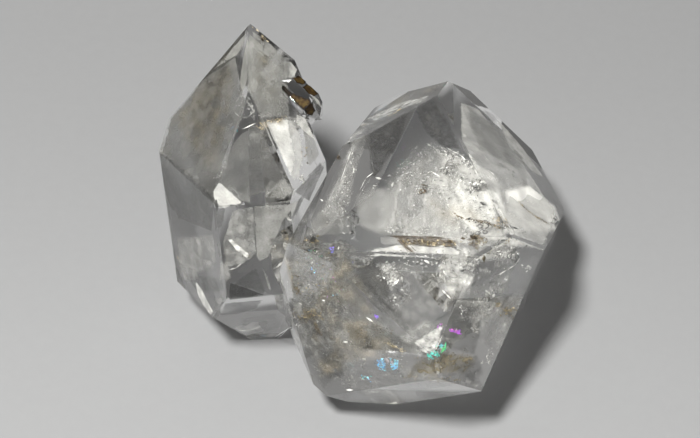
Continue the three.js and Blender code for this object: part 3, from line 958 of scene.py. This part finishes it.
    (at_depth(0.25, (213, 206), (226, 208), (222, 226), (215, 232)), 0.6, (0.1, 0.25), 0.1, 0.15),
    (at_depth(0.25, (178, 262), (196, 268), (201, 282), (186, 283)), 0.5, (0.75, 0.85), 0.2, 0.15),
    (at_depth(0.25, (214, 292), (228, 298), (222, 318), (212, 314)), 0.5, (0.7, 0.84), 0.25, 0.15),
    (((240, 318, 0.3), (276, 312, 0.3), (284, 326, 0.25), (262, 334, 0.25), (238, 334, 0.2)),
     0.35, (0.7, 0.86), 0.3, 0.15),
    (at_depth(0.2, (212, 71), (247, 31), (243, 48), (236, 56)), 0.75, (0.5, 0.6), 0.08, 0.15),
    (at_depth(0.2, (226, 238), (232, 239), (250, 254), (247, 259), (235, 250)),
     0.6, (0.94, 1.0), 0.08, 0.3, 2.0),
    (at_depth(0.3, (220, 258), (233, 262), (230, 282), (217, 280)), 0.45, (0.72, 0.84), 0.3, 0.15, 1.0),
    (at_depth(0.3, (262, 268), (282, 272), (288, 294), (266, 294)), 0.5, (0.7, 0.84), 0.3, 0.15, 1.0),
    (at_depth(0.3, (248, 126), (259, 125), (284, 178), (272, 190), (248, 198)),
     0.72, (0.12, 0.26), 0.1, 0.12, 0.8, 1.5),
    # Painted shade: the near-black wedge at its lower front.
    (((229, 282, 0.2), (250, 289, 0.25), (265, 296, 0.25), (229, 300, 0.2)), 0.85, (0.0, 0.1), 0.06, 0.2),
    (((240, 276, 0.4), (256, 266, 0.4), (268, 292, 0.4), (262, 296, 0.3), (230, 284, 0.3)),
     0.35, (0.0, 0.2), 0.2, 0.3, 1.5),
    (((222, 301, 0.25), (264, 299, 0.25), (258, 308, 0.25), (240, 314, 0.25), (218, 316, 0.2)),
     0.65, (0.1, 0.25), 0.2, 0.15, 1.0),
    (at_depth(0.35, (312, 184), (320, 192), (304, 224), (293, 262), (285, 260), (292, 220)),
     0.6, (0.1, 0.25), 0.15, 0.2, 1.5),
    (at_depth(0.3, (308, 188), (302, 204), (290, 224), (280, 262), (272, 258), (284, 220), (299, 197)),
     0.62, (0.08, 0.2), 0.2, 0.2, 1.5),
    (((294, 192, 0.25), (303, 183, 0.25), (319, 162, 0.25), (325, 167, 0.2), (309, 202, 0.2)),
     0.6, (0.15, 0.25), 0.1, 0.15, 2.0),
    (at_depth(0.1, (281, 58), (284, 53), (292, 58)), 0.8, (0.0, 0.15), 0.06, 0.2),
    (at_depth(0.2, (296, 113), (309, 119), (315, 131), (304, 132), (295, 122)),
     0.5, (0.8, 0.9), 0.1, 0.15, 2.0),
]
RUSTY_HAZE = [
    (((288, 240, 0.3), (345, 240, 0.6), (372, 300, 1.0), (400, 350, 0.8), (320, 380, 0.4),
      (286, 290, 0.2)), 0.14, (0.7, 0.95), 0.5, 0.6, 1.5),
    (((402, 380, 0.5), (412, 360, 0.7), (440, 352, 0.8), (476, 348, 0.8), (478, 362, 0.7),
      (462, 382, 0.5), (430, 381, 0.5)), 0.6, (0.72, 0.84), 0.4, 0.35, 2.0),
    (((284, 262, 0.4), (296, 262, 0.4), (302, 292, 0.4), (290, 298, 0.3)),
     0.4, (0.6, 0.85), 0.5, 0.6, 2.0),
    (((292, 306, 0.4), (318, 306, 0.5), (322, 322, 0.5), (298, 326, 0.4)),
     0.4, (0.5, 0.85), 0.5, 0.6, 2.0),
    (at_depth(0.6, (312, 321), (317, 321), (324, 336), (316, 335)), 0.7, (0.5, 0.8), 0.15, 0.4),
    (((256, 44, 0.2), (268, 50, 0.2), (280, 62, 0.3), (282, 108, 0.4), (254, 108, 0.4), (246, 80, 0.3)),
     0.14, (0.6, 0.9), 0.7, 0.5, 1.5),
    (at_depth(0.2, (170, 120), (206, 76), (234, 58), (236, 84), (226, 140), (210, 176)),
     0.12, (0.55, 0.8), 0.6, 0.3, 1.6),
    (((420, 196, 1.4), (470, 200, 2.0), (500, 228, 2.0), (440, 232, 1.8)), 0.1, (0.85, 1.0), 0.8, 0.5),
    (at_depth(0.7, (494, 298), (520, 300), (515, 325), (492, 322)), 0.3, (0.7, 0.95), 0.5, 0.5),
    (((340, 322, 1.0), (372, 318, 1.2), (396, 336, 1.2), (350, 344, 1.0)), 0.2, (0.6, 0.85), 0.6, 0.5),
    (at_depth(0.5, (258, 121), (284, 116), (286, 126), (262, 132)), 0.3, (0.9, 1.0), 0.3, 0.4),
    # The spindle: a dark roof, mottled walls and a slanting arm.
    (at_depth(0.8, (396, 238), (456, 238.5), (457.5, 246.5), (430, 247), (404, 245)),
     0.5, (0.3, 0.95), 0.12, 0.5, 3.6),
    (at_depth(0.75, (385, 235.6), (420, 236), (457, 238), (440, 239.5), (400, 239.5)),
     0.6, (0.25, 0.45), 0.05, 0.2, 3.0),
    (at_depth(0.75, (395, 239), (402, 239), (416, 252.5), (408, 252.5)), 0.5, (0.3, 0.6), 0.08, 0.3, 3.0),
]

# Films inside: the outline, the tones of its border and its middle, and the share that is bare.
# A painted highlight: the lamp's glint on a sloping face of the small crystal, as a white film just under
# it.
PAINTED_GLINT_FILMS = [
    (at_depth(0.05, (280, 80), (293, 79.5), (288, 83)), (1.0, 1.0), 0.0),
]
BROWN_FILMS = [
    (at_depth(1.2, (470, 237), (482, 238), (484, 245), (473, 246)), (0.45, 0.75), 0.55),
]

# Hollows: place, radius, and how much longer than wide.
BUBBLES = [
    ((361, 262, 0.9), 0.42, 1.5),
    ((354, 258, 0.8), 0.2, 1.2),
    ((370, 259, 0.9), 0.2, 1.3),
    ((480, 226, 1.9), 0.2, 1.0),
    ((486, 222, 1.9), 0.15, 1.0),
    ((478, 233, 1.9), 0.15, 1.2),
    ((485, 232, 1.9), 0.18, 1.0),
    ((447, 175, 1.6), 0.13, 1.2),
    ((453, 168, 1.6), 0.10, 1.0),
    ((419, 188, 1.4), 0.14, 1.2),
    ((489, 182, 1.8), 0.2, 1.6),
    ((452, 275, 1.2), 0.2, 2.0),
    ((510, 256, 0.8), 0.2, 1.5),
    ((496, 292, 0.8), 0.14, 1.5),
    ((553, 220, 0.5), 0.3, 1.4),
]

# Open cracks, thin and shell-shaped: middle, radius, turn in degrees.
CRACKS = [
    ((305, 300, 0.9), 1.1, (65, -30, 10)),
    ((340, 300, 1.6), 1.6, (30, 55, 50)),
    ((322, 330, 1.2), 1.2, (75, 10, 120)),
    ((355, 330, 1.6), 1.4, (-30, 60, 200)),
    ((330, 362, 1.0), 1.3, (55, 45, 260)),
    ((352, 372, 1.0), 1.0, (20, 70, 300)),
    ((388, 364, 1.2), 1.1, (48, -20, 15)),
    ((392, 276, 1.6), 1.0, (40, 20, 75)),
    ((405, 292, 1.8), 1.1, (-35, 45, 140)),
    ((446, 270, 1.5), 1.0, (50, 0, 95)),
    ((470, 262, 1.3), 0.7, (60, 30, 160)),
    ((505, 258, 1.0), 1.0, (45, 30, 20)),
    ((494, 292, 1.0), 0.8, (-50, 20, 65)),
    ((478, 318, 1.2), 1.1, (35, -45, 115)),
    ((450, 170, 2.0), 1.0, (60, 10, 45)),
    ((485, 185, 2.0), 0.8, (-40, 30, 100)),
    ((420, 190, 1.8), 0.8, (50, 40, 185)),
    ((232, 195, 2.0), 1.2, (35, 40, 80)),
    ((240, 250, 1.6), 1.0, (60, -20, 10)),
]

# Iron film on the small crystal: the face, its distance from the crystal's middle, the outline as
# (across, along), the tones of its border and its middle, and the share that is bare.
IRON_FILMS = [
    ("m2", 1.0, ((0.5, -1.05), (-0.44, -1.02), (-0.5, -0.35), (0.1, -0.22), (0.52, -0.5)),
     (0.02, 0.6), 0.0),
    ("m2", 1.0, ((0.45, -0.1), (-0.2, -0.2), (-0.44, 0.0), (-0.42, 0.85), (0.3, 0.9), (0.56, 0.6)),
     (0.02, 0.5), 0.0),
    ("m3", 0.95, ((0.42, -1.15), (0.1, -1.2), (0.12, -0.3), (0.42, -0.2)), (0.0, 0.12), 0.1),
    ("m3", 0.95, ((0.42, -0.25), (0.05, -0.3), (-0.12, 0.3), (-0.4, 0.9), (-0.3, 1.08), (0.42, 1.05)),
     (0.0, 0.62), 0.0),
    ("u3", 1.4, ((-0.35, 0.28), (0.42, 0.25), (0.5, 0.6), (0.34, 0.95), (-0.1, 0.9)), (0.1, 0.6), 0.05),
]
SPECKLED_FILM = [
    ("m4", 0.85, ((-0.64, -1.1), (0.1, -1.2), (0.3, -0.6), (0.1, 1.0), (-0.3, 1.3), (-0.64, 1.0)),
     (0.05, 0.75), 0.12),
]


class HERKIMER_OT_veils(bpy.types.Operator):
    """Adds the white veils, flakes left on healed cracks, and painted glints along the left crystal's
    edges
    """

    bl_idname = "herkimer.veils"
    bl_label = "White veils"

    def execute(self, context):
        scatter = Scatter(Solid(), SEEDS["veils"])
        scatter.fill(VEILS_AND_PAINTED_GLINTS)
        scatter.made("white_veils_and_painted_glints", veil_and_painted_light_material(context.scene.herkimer_veils))
        return {"FINISHED"}


class HERKIMER_OT_iron(bpy.types.Operator):
    """Adds the brown and golden flecks of iron inside"""

    bl_idname = "herkimer.iron"
    bl_label = "Iron flecks"

    def execute(self, context):
        scatter = Scatter(Solid(), SEEDS["iron"])
        scatter.fill(IRON)
        settings = context.scene.herkimer_iron
        flecks = iron_material("iron_flecks", settings.brown, settings.gold)
        scatter.made("iron_flecks", flecks)
        return {"FINISHED"}


class HERKIMER_OT_rainbows(bpy.types.Operator):
    """Adds the rainbow colours of thin cracks"""

    bl_idname = "herkimer.rainbows"
    bl_label = "Rainbow cracks"

    def execute(self, context):
        scatter = Scatter(Solid(), SEEDS["rainbows"])
        scatter.fill(RAINBOWS)
        scatter.made("rainbow_cracks", rainbow_material())
        return {"FINISHED"}


BUBBLE_UNEVENNESS = 0.03
CRACK_CELLS = 26
CRACK_THICKNESS = 0.012 * MM
CRACK_UNDER_SURFACE = 0.03  # mm
# In radii of the crack: the height of its ribs, its bowl and its waves, where its rim lies and how
# ragged that is.
CRACK_SHAPE = {"rib": 0.012, "bowl": 0.22, "waves": 0.1, "rim": 0.78, "ragged": 0.5}
RIB_TURNS = 26  # radians that the ribs go through from its middle to one radius out


def add_crack(bm, solid, place, radius, turn):
    """A thin ribbed shell with a ragged rim, cut from a grid and thickened. One that would reach
    out of the quartz is left out."""
    crack = bmesh.new()
    bmesh.ops.create_grid(crack, x_segments=CRACK_CELLS, y_segments=CRACK_CELLS, size=1)
    seed = Vector(place) * 0.37
    for vert in crack.verts:
        x, y, _ = vert.co
        out = math.hypot(x, y)
        wander = noise.noise(Vector((x, y, 0)) * 2 + seed) * 5
        ribs = CRACK_SHAPE["rib"] * math.sin(out * RIB_TURNS + wander)
        waves = CRACK_SHAPE["waves"] * noise.noise(vert.co * 1.3 + seed)
        vert.co.z = CRACK_SHAPE["bowl"] * (x * x + 0.4 * y * y) + ribs + waves
    spare = []
    for face in crack.faces:
        at = face.calc_center_median()
        ragged = noise.fractal(Vector((at.x, at.y, 0)) * 1.6 + seed, 0.8, 2.0, 3)
        if math.hypot(at.x, at.y) > CRACK_SHAPE["rim"] + CRACK_SHAPE["ragged"] * ragged:
            spare.append(face)
    bmesh.ops.delete(crack, geom=spare, context="FACES")
    turned = Euler([math.radians(angle) for angle in turn]).to_matrix().to_4x4()
    size = Matrix.Scale(radius * MM, 4)
    middle = Matrix.Translation(solid.under(*place))
    bmesh.ops.transform(crack, matrix=middle @ turned @ size, verts=crack.verts)
    bmesh.ops.solidify(crack, geom=crack.faces, thickness=CRACK_THICKNESS)
    if all(solid.holds(face.calc_center_median(), CRACK_UNDER_SURFACE) for face in crack.faces):
        bmesh.ops.recalc_face_normals(crack, faces=crack.faces)
        mesh = bpy.data.meshes.new("crack")
        crack.to_mesh(mesh)
        bm.from_mesh(mesh)
        bpy.data.meshes.remove(mesh)
    crack.free()


class HERKIMER_OT_hollows(bpy.types.Operator):
    """Adds the gas bubbles and the open cracks"""

    bl_idname = "herkimer.hollows"
    bl_label = "Hollows and cracks"

    def execute(self, context):
        solid = Solid()
        draw = random.Random(SEEDS["hollows"])
        bm = bmesh.new()
        for place, radius, longer in BUBBLES:
            middle = Matrix.Translation(solid.under(*place))
            turned = Euler((0, 0, draw.uniform(-0.5, 0.5))).to_matrix().to_4x4()
            size = Matrix.Diagonal((radius * longer * MM, radius * MM, radius * 0.8 * MM, 1))
            bmesh.ops.create_icosphere(bm, subdivisions=3, radius=1, matrix=middle @ turned @ size)
        for vert in bm.verts:
            swell = noise.noise(vert.co / MM * 3)
            vert.co += vert.co.normalized() * swell * BUBBLE_UNEVENNESS * MM
        for crack in CRACKS:
            add_crack(bm, solid, *crack)
        bmesh.ops.recalc_face_normals(bm, faces=bm.faces)
        piece_from(bm, "hollows_and_cracks", void_material())
        return {"FINISHED"}


def inside_outline(point, outline):
    """True if the point lies inside the closed outline, and how far from its border it is."""
    within = False
    nearest = 99.0
    for a, b in zip(outline, outline[1:] + outline[:1]):
        if (a.y > point.y) != (b.y > point.y):
            if point.x < (b.x - a.x) * (point.y - a.y) / (b.y - a.y) + a.x:
                within = not within
        side = b - a
        share = max(0, min(1, (point - a).dot(side) / side.length_squared))
        nearest = min(nearest, (point - a - side * share).length)
    return within, nearest


def sheet_within(outline, cell, ragged):
    """A flat grid cut to an outline of places, in its own plane, and the plane's seat. In mm."""
    places = [place / MM for place in outline]
    middle = sum(places, Vector()) / len(places)
    sides = zip(places, places[1:] + places[:1])
    normal = sum(((p - middle).cross(q - middle) for p, q in sides), Vector())
    axes = frame_along(places[1] - places[0], normal.cross(places[1] - places[0]))
    flat = [Vector(((p - middle).dot(axes.col[0]), (p - middle).dot(axes.col[1]))) for p in places]
    low = Vector([min(p[k] for p in flat) for k in (0, 1)])
    high = Vector([max(p[k] for p in flat) for k in (0, 1)])
    bm = bmesh.new()
    border = bm.verts.layers.float.new("border")
    cells = [max(2, int((high[k] - low[k]) / cell)) for k in (0, 1)]
    bmesh.ops.create_grid(bm, x_segments=cells[0], y_segments=cells[1], size=0.5)
    noise.seed_set(SEEDS["borders"])  # noise_vector would go by the time of day without it
    outside = set()
    for vert in bm.verts:
        at = Vector((low[k] + (vert.co[k] + 0.5) * (high[k] - low[k]) for k in (0, 1)))
        vert.co = (*at, 0)
        wander = noise.noise_vector(vert.co * 4 + middle).xy * ragged
        within, vert[border] = inside_outline(at + wander, flat)
        if not within:
            outside.add(vert)
    spare = [face for face in bm.faces if any(vert in outside for vert in face.verts)]
    bmesh.ops.delete(bm, geom=spare, context="FACES")
    return bm, Matrix.Translation(middle) @ axes.to_4x4()


def add_to(whole, bm, seat):
    """Moves a finished bmesh in millimetres to its seat and adds it to the whole."""
    bmesh.ops.transform(bm, matrix=Matrix.Scale(MM, 4) @ seat, verts=bm.verts)
    mesh = bpy.data.meshes.new("part")
    bm.to_mesh(mesh)
    bm.free()
    whole.from_mesh(mesh)
    bpy.data.meshes.remove(mesh)


# In millimetres: the cells of a film and of a haze, from the finest to the coarsest, how ragged their
# borders are, the border of a film that has a tone of its own, the height of a haze's waves, its
# least depth and the gap between a film and the small crystal's face.
FILM_CELL = 0.035
FILM_RAGGED = 0.05
FILM_BORDER = 0.16
HAZE_CELL = (0.04, 0.11)
HAZE_RAGGED = 0.1
HAZE_WAVES = 0.15
HAZE_UNDER_SURFACE = 0.04
FILM_LIFT = 0.004


def add_film(whole, outline, tones, bare, thickness):
    """A ragged film, from the tone of its border to that of its middle."""
    bm, seat = sheet_within(outline, FILM_CELL, FILM_RAGGED)
    border = bm.verts.layers.float["border"]
    tone = bm.verts.layers.float.new("tone")
    shift = seat.translation
    for vert in bm.verts:
        rough = noise.fractal(vert.co * 3.5 + shift, 0.7, 2.1, 4)
        share = min(1, max(0, vert[border] / FILM_BORDER + rough * 0.5))
        vert[tone] = max(0, min(1, tones[0] + (tones[1] - tones[0]) * share + rough * 0.25))
    spare = [face for face in bm.faces
             if noise.fractal(face.calc_center_median() * 5 + shift, 0.6, 2.2, 3) * 0.5 + 0.5 < bare]
    bmesh.ops.delete(bm, geom=spare, context="FACES")
    bmesh.ops.solidify(bm, geom=bm.faces, thickness=thickness / MM)
    bmesh.ops.recalc_face_normals(bm, faces=bm.faces)
    add_to(whole, bm, seat)


def add_haze(whole, solid, corners, cover, tones, fade, cloud=0.25, grain=1.2, streak=1.0):
    """A faint sheet that thins out to its border and in clouds, drawn out along its first side."""
    cell = max(HAZE_CELL[0], min(HAZE_CELL[1], fade * 0.7))
    outline = [solid.under(*corner) for corner in corners]
    bm, seat = sheet_within(outline, cell, min(HAZE_RAGGED, fade * 0.5))
    border = bm.verts.layers.float["border"]
    tone = bm.verts.layers.float.new("tone")
    thick = bm.verts.layers.float.new("cover")
    shift = seat.translation
    for vert in bm.verts:
        drawn_out = Vector((vert.co.x / streak, vert.co.y * streak, 0))
        rough = noise.fractal(drawn_out * grain + shift, 0.8, 2.1, 4)
        soft = min(1, vert[border] / fade)
        soft = soft * soft * (3 - 2 * soft)
        vert[thick] = max(0, cover * soft * (1 + cloud * 2 * rough))
        vert[tone] = max(0, min(1, tones[0] + (tones[1] - tones[0]) * (0.5 + rough)))
    for vert in bm.verts:
        vert.co.z += min(HAZE_WAVES, fade / 2) * noise.noise(vert.co * 0.7 + shift)
    world = Matrix.Scale(MM, 4) @ seat
    spare = [face for face in bm.faces
             if not solid.holds(world @ face.calc_center_median(), HAZE_UNDER_SURFACE)]
    bmesh.ops.delete(bm, geom=spare, context="FACES")
    add_to(whole, bm, seat)


def on_small_crystal(face, distance, outline):
    """Places on a face of the small crystal, from millimetres across it and along it."""
    axes = axes_of(SMALL)
    normal = face_normal(SMALL, face)
    across = axes.col[2].cross(normal).normalized()
    up_slope = normal.cross(across)
    middle = Vector(SMALL["middle"]) + normal * (distance + FILM_LIFT)
    return [(middle + across * x + up_slope * y) * MM for x, y in outline]


class HERKIMER_OT_haze(bpy.types.Operator):
    """Adds the faint sheets, white, smoky and rusty: haze of dust too fine to tell apart, and panels of
    painted light, painted shade and painted glints
    """

    bl_idname = "herkimer.haze"
    bl_label = "Haze"

    def execute(self, context):
        solid = Solid()
        iron = context.scene.herkimer_iron
        rust = iron_material("iron_haze", iron.brown, iron.gold)
        # The white sheets: haze, painted light, painted shade and painted glints.
        dust = veil_and_painted_light_material(context.scene.herkimer_veils)
        for name, rows, material, slot in (
            ("haze_and_painted_light", HAZE_AND_PAINTED_LIGHT, dust, "veil"),
            ("rusty_haze", RUSTY_HAZE, rust, "iron_stain"),
        ):
            thin_out(material)
            whole = bmesh.new()
            whole.verts.layers.float.new("tone")
            whole.verts.layers.float.new("cover")
            for row in rows:
                add_haze(whole, solid, *row)
            piece_from(whole, name, material)
        return {"FINISHED"}


class HERKIMER_OT_inner_films(bpy.types.Operator):
    """Adds the ragged films: brown ones on the walls of hollows and cracks, and a white one that is a
    painted glint
    """

    bl_idname = "herkimer.inner_films"
    bl_label = "Inner films"

    def execute(self, context):
        solid = Solid()
        settings = context.scene.herkimer_iron
        pale = veil_and_painted_light_material(context.scene.herkimer_veils)
        brown = iron_material("iron_lining", settings.brown, settings.gold)
        for name, rows, material, slot in (
            ("painted_glint_film", PAINTED_GLINT_FILMS, pale, "veil"),
            ("brown_films", BROWN_FILMS, brown, "iron_stain"),
        ):
            whole = bmesh.new()
            whole.verts.layers.float.new("tone")
            for corners, tones, bare in rows:
                outline = [solid.under(*corner) for corner in corners]
                add_film(whole, outline, tones, bare, settings.film)
            piece_from(whole, name, material)
        return {"FINISHED"}


class HERKIMER_OT_iron_film(bpy.types.Operator):
    """Adds the iron film and the speckled film on the small crystal"""

    bl_idname = "herkimer.iron_film"
    bl_label = "Iron film"

    def execute(self, context):
        settings = context.scene.herkimer_iron
        film = iron_material("iron_film", settings.film_brown, settings.film_gold)
        shader = film.node_tree.nodes["Principled BSDF"]
        shader.inputs["Specular IOR Level"].default_value = DULL_SPECULAR
        speckles = veil_and_painted_light_material(context.scene.herkimer_veils)
        for name, rows, material, slot in (
            ("iron_film", IRON_FILMS, film, "iron_stain"),
            ("speckled_film", SPECKLED_FILM, speckles, "veil"),
        ):
            whole = bmesh.new()
            whole.verts.layers.float.new("tone")
            for face, distance, outline, tones, bare in rows:
                places = on_small_crystal(face, distance, outline)
                add_film(whole, places, tones, bare, settings.film)
            piece_from(whole, name, material)
        return {"FINISHED"}


# ---- Stage ----

KEY_FROM = Vector((-0.215, -0.25, 0.944)).normalized()
KEY_DISTANCE = 0.3  # in metres

# The patches of wall and window that light the room besides the lamp: the heading and the height of
# each, in degrees, and its strength.
ROOM = (
    (0, 90, 0.036),
    (-18, 62, 0.015), (54, 62, 0.10), (126, 62, 0.12), (198, 62, 0.030),
    (-90, 36, 0.050), (-30, 36, 0.13), (30, 36, 0.09),
    (90, 36, 0.13), (150, 36, 0.034), (210, 36, 0.026),
    (-90, 11, 0.085), (-30, 11, 0.13), (30, 11, 0.05), (90, 11, 0.14), (210, 11, 0.036),
)
PATCH_FOCUS = 7  # the higher, the smaller the patches
AIR_GAP = 0.03 * MM  # between the part and the paper
PAPER_REACH = 0.6  # from the middle to each side, in metres
PAINTED_FALLOFF = (-20 * MM, 30 * MM)  # from front to back, where the paper gets darker: painted light falloff
LIGHT_BOUNCES = 48
CLEAR_BOUNCES = 32  # through thin haze

# The pieces inside the quartz, which have a key light of their own.
LIT_INSIDE = (
    "white_veils_and_painted_glints", "iron_flecks", "rainbow_cracks", "haze_and_painted_light", "rusty_haze", "painted_glint_film",
    "brown_films",
)


def add_lamp(name, settings, share=1.0):
    data = bpy.data.lights.new(name, "AREA")
    data.shape = "DISK"
    data.size = 2 * KEY_DISTANCE * math.tan(settings.key_width / 2)
    data.energy = settings.key_power * share
    lamp = bpy.data.objects.new(name, data)
    lamp.location = KEY_FROM * KEY_DISTANCE
    lamp.rotation_euler = KEY_FROM.to_track_quat("Z", "Y").to_euler()
    bpy.context.scene.collection.objects.link(lamp)
    return lamp


def inner_pieces():
    return [bpy.data.objects[name] for name in LIT_INSIDE if name in bpy.data.objects]


def link_lamps(key, inner_key, passed_on, paper):
    """Quartz shades what lies past it from the key light, clear as it is. So the pieces inside have
    a lamp like it of their own, and a weak one without shadows gives the paper what is passed on."""
    left_out = bpy.data.collections.new("not_lit_by_the_key")
    lit = bpy.data.collections.new("inside_the_quartz")
    for piece in inner_pieces():
        left_out.objects.link(piece)
        lit.objects.link(piece)
    for entry in left_out.collection_objects:
        entry.light_linking.link_state = "EXCLUDE"
    key.light_linking.receiver_collection = left_out
    inner_key.light_linking.receiver_collection = lit
    inner_key.light_linking.blocker_collection = lit
    below = bpy.data.collections.new("below_the_quartz")
    below.objects.link(paper)
    passed_on.light_linking.receiver_collection = below
    passed_on.data.use_shadow = False


def paper_material(settings):
    material, tree, shader = new_material("pale_paper")
    fibres = noise_node(tree, "paper fibres", 1.2, 6.0, 0.65)
    place = add_node(tree, "ShaderNodeTexCoord", "place")
    parts = add_node(tree, "ShaderNodeSeparateXYZ", "near or far")
    tree.links.new(place.outputs["Object"], parts.inputs["Vector"])
    # Painted light falloff: the paper is darker towards the back.
    near = range_node(tree, "painted light falloff to the far side", parts.outputs["Y"], *PAINTED_FALLOFF, 0.75, 0.05)
    near.interpolation_type = "SMOOTHSTEP"
    tone = add_node(tree, "ShaderNodeMath", "fibres and painted falloff", operation="MULTIPLY_ADD")
    tone.inputs[1].default_value = 0.25
    tree.links.new(fibres.outputs["Fac"], tone.inputs[0])
    tree.links.new(near.outputs["Result"], tone.inputs[2])
    light = tuple(c * 1.10 for c in settings.paper)
    dark = tuple(c * 0.84 for c in settings.paper)
    colour = ramp_node(tree, "paper tone", [(0.0, (*dark, 1)), (1.0, (*light, 1))])
    tree.links.new(tone.outputs["Value"], colour.inputs["Fac"])
    tree.links.new(colour.outputs["Color"], shader.inputs["Base Color"])
    shader.inputs["Roughness"].default_value = 0.95
    shader.inputs["Specular IOR Level"].default_value = 0.1
    return material


def surroundings():
    """A dim room, lit by the soft glow of each of its patches."""
    world = bpy.data.worlds.new("dim_room")
    world.use_nodes = True
    tree = world.node_tree
    place = add_node(tree, "ShaderNodeTexCoord", "direction")
    level = None
    for heading, height, strength in ROOM:
        towards = Euler((0, -math.radians(height), math.radians(heading))).to_matrix().col[0]
        facing = add_node(tree, "ShaderNodeVectorMath", "facing the patch", operation="DOT_PRODUCT")
        facing.inputs[1].default_value = towards
        tree.links.new(place.outputs["Generated"], facing.inputs[0])
        fall = add_node(tree, "ShaderNodeMath", "fall of the glow", operation="MULTIPLY_ADD")
        fall.inputs[1].default_value = PATCH_FOCUS
        fall.inputs[2].default_value = math.log(strength) - PATCH_FOCUS
        tree.links.new(facing.outputs["Value"], fall.inputs[0])
        glow = add_node(tree, "ShaderNodeMath", "glow", operation="EXPONENT")
        tree.links.new(fall.outputs["Value"], glow.inputs[0])
        if level is None:
            level = glow
            continue
        both = add_node(tree, "ShaderNodeMath", "glow so far", operation="ADD")
        tree.links.new(level.outputs["Value"], both.inputs[0])
        tree.links.new(glow.outputs["Value"], both.inputs[1])
        level = both
    background = tree.nodes["Background"]
    background.inputs["Color"].default_value = (1.0, 0.99, 0.97, 1)
    tree.links.new(level.outputs["Value"], background.inputs["Strength"])
    return world


class HERKIMER_OT_stage(bpy.types.Operator):
    """Adds the paper, the lamp, the dim room and the camera"""

    bl_idname = "herkimer.stage"
    bl_label = "Stage"

    def execute(self, context):
        scene = context.scene
        settings = scene.herkimer_stage
        bm = bmesh.new()
        bmesh.ops.create_grid(bm, x_segments=1, y_segments=1, size=PAPER_REACH)
        bmesh.ops.translate(bm, verts=bm.verts, vec=(0, 0, -AIR_GAP))
        mesh = bpy.data.meshes.new("paper")
        bm.to_mesh(mesh)
        bm.free()
        mesh.materials.append(paper_material(settings))
        paper = bpy.data.objects.new("paper", mesh)
        scene.collection.objects.link(paper)

        key = add_lamp("key_light", settings)
        inner_key = add_lamp("key_light_inside", settings)
        passed_on = add_lamp("key_light_passed_on", settings, settings.passed_on)
        link_lamps(key, inner_key, passed_on, paper)
        scene.world = surroundings()

        data = bpy.data.cameras.new("camera")
        data.sensor_width = SENSOR_WIDTH
        data.lens = SENSOR_WIDTH * EYE_TO_VIEW / VIEW[0]
        data.clip_start = 1 * MM
        camera = bpy.data.objects.new("camera", data)
        camera.location = EYE
        camera.rotation_euler = (math.pi / 2 - ELEVATION, 0, 0)
        scene.collection.objects.link(camera)
        scene.camera = camera

        scene.view_settings.view_transform = "Standard"
        scene.cycles.max_bounces = LIGHT_BOUNCES
        scene.cycles.glossy_bounces = LIGHT_BOUNCES
        scene.cycles.transmission_bounces = LIGHT_BOUNCES
        scene.cycles.transparent_max_bounces = CLEAR_BOUNCES
        return {"FINISHED"}


class HERKIMER_PT_panel(bpy.types.Panel):
    """Lists the steps that dress the crystals"""

    bl_label = "Herkimer Diamond"
    bl_idname = "HERKIMER_PT_panel"
    bl_space_type = "VIEW_3D"
    bl_region_type = "UI"
    bl_category = "Herkimer Diamond"

    def draw(self, context):
        for step in STEPS:
            self.layout.operator(step.bl_idname)


STEPS = (
    HERKIMER_OT_crystals,
    HERKIMER_OT_veils,
    HERKIMER_OT_iron,
    HERKIMER_OT_rainbows,
    HERKIMER_OT_haze,
    HERKIMER_OT_inner_films,
    HERKIMER_OT_hollows,
    HERKIMER_OT_iron_film,
    HERKIMER_OT_stage,
)
GROUPS = {
    "herkimer_crystals": CrystalSettings,
    "herkimer_veils": VeilSettings,
    "herkimer_iron": IronSettings,
    "herkimer_stage": StageSettings,
}


def register():
    for group in GROUPS.values():
        bpy.utils.register_class(group)
    for name, group in GROUPS.items():
        setattr(bpy.types.Scene, name, PointerProperty(type=group))
    for cls in (*STEPS, HERKIMER_PT_panel):
        bpy.utils.register_class(cls)


def unregister():
    for cls in (HERKIMER_PT_panel, *reversed(STEPS)):
        bpy.utils.unregister_class(cls)
    for name in GROUPS:
        delattr(bpy.types.Scene, name)
    for group in GROUPS.values():
        bpy.utils.unregister_class(group)


def main():
    register()
    bpy.ops.herkimer.crystals()
    bpy.ops.herkimer.veils()
    bpy.ops.herkimer.iron()
    bpy.ops.herkimer.rainbows()
    bpy.ops.herkimer.haze()
    bpy.ops.herkimer.inner_films()
    bpy.ops.herkimer.hollows()
    bpy.ops.herkimer.iron_film()
    bpy.ops.herkimer.stage()


if __name__ == "__main__":
    main()
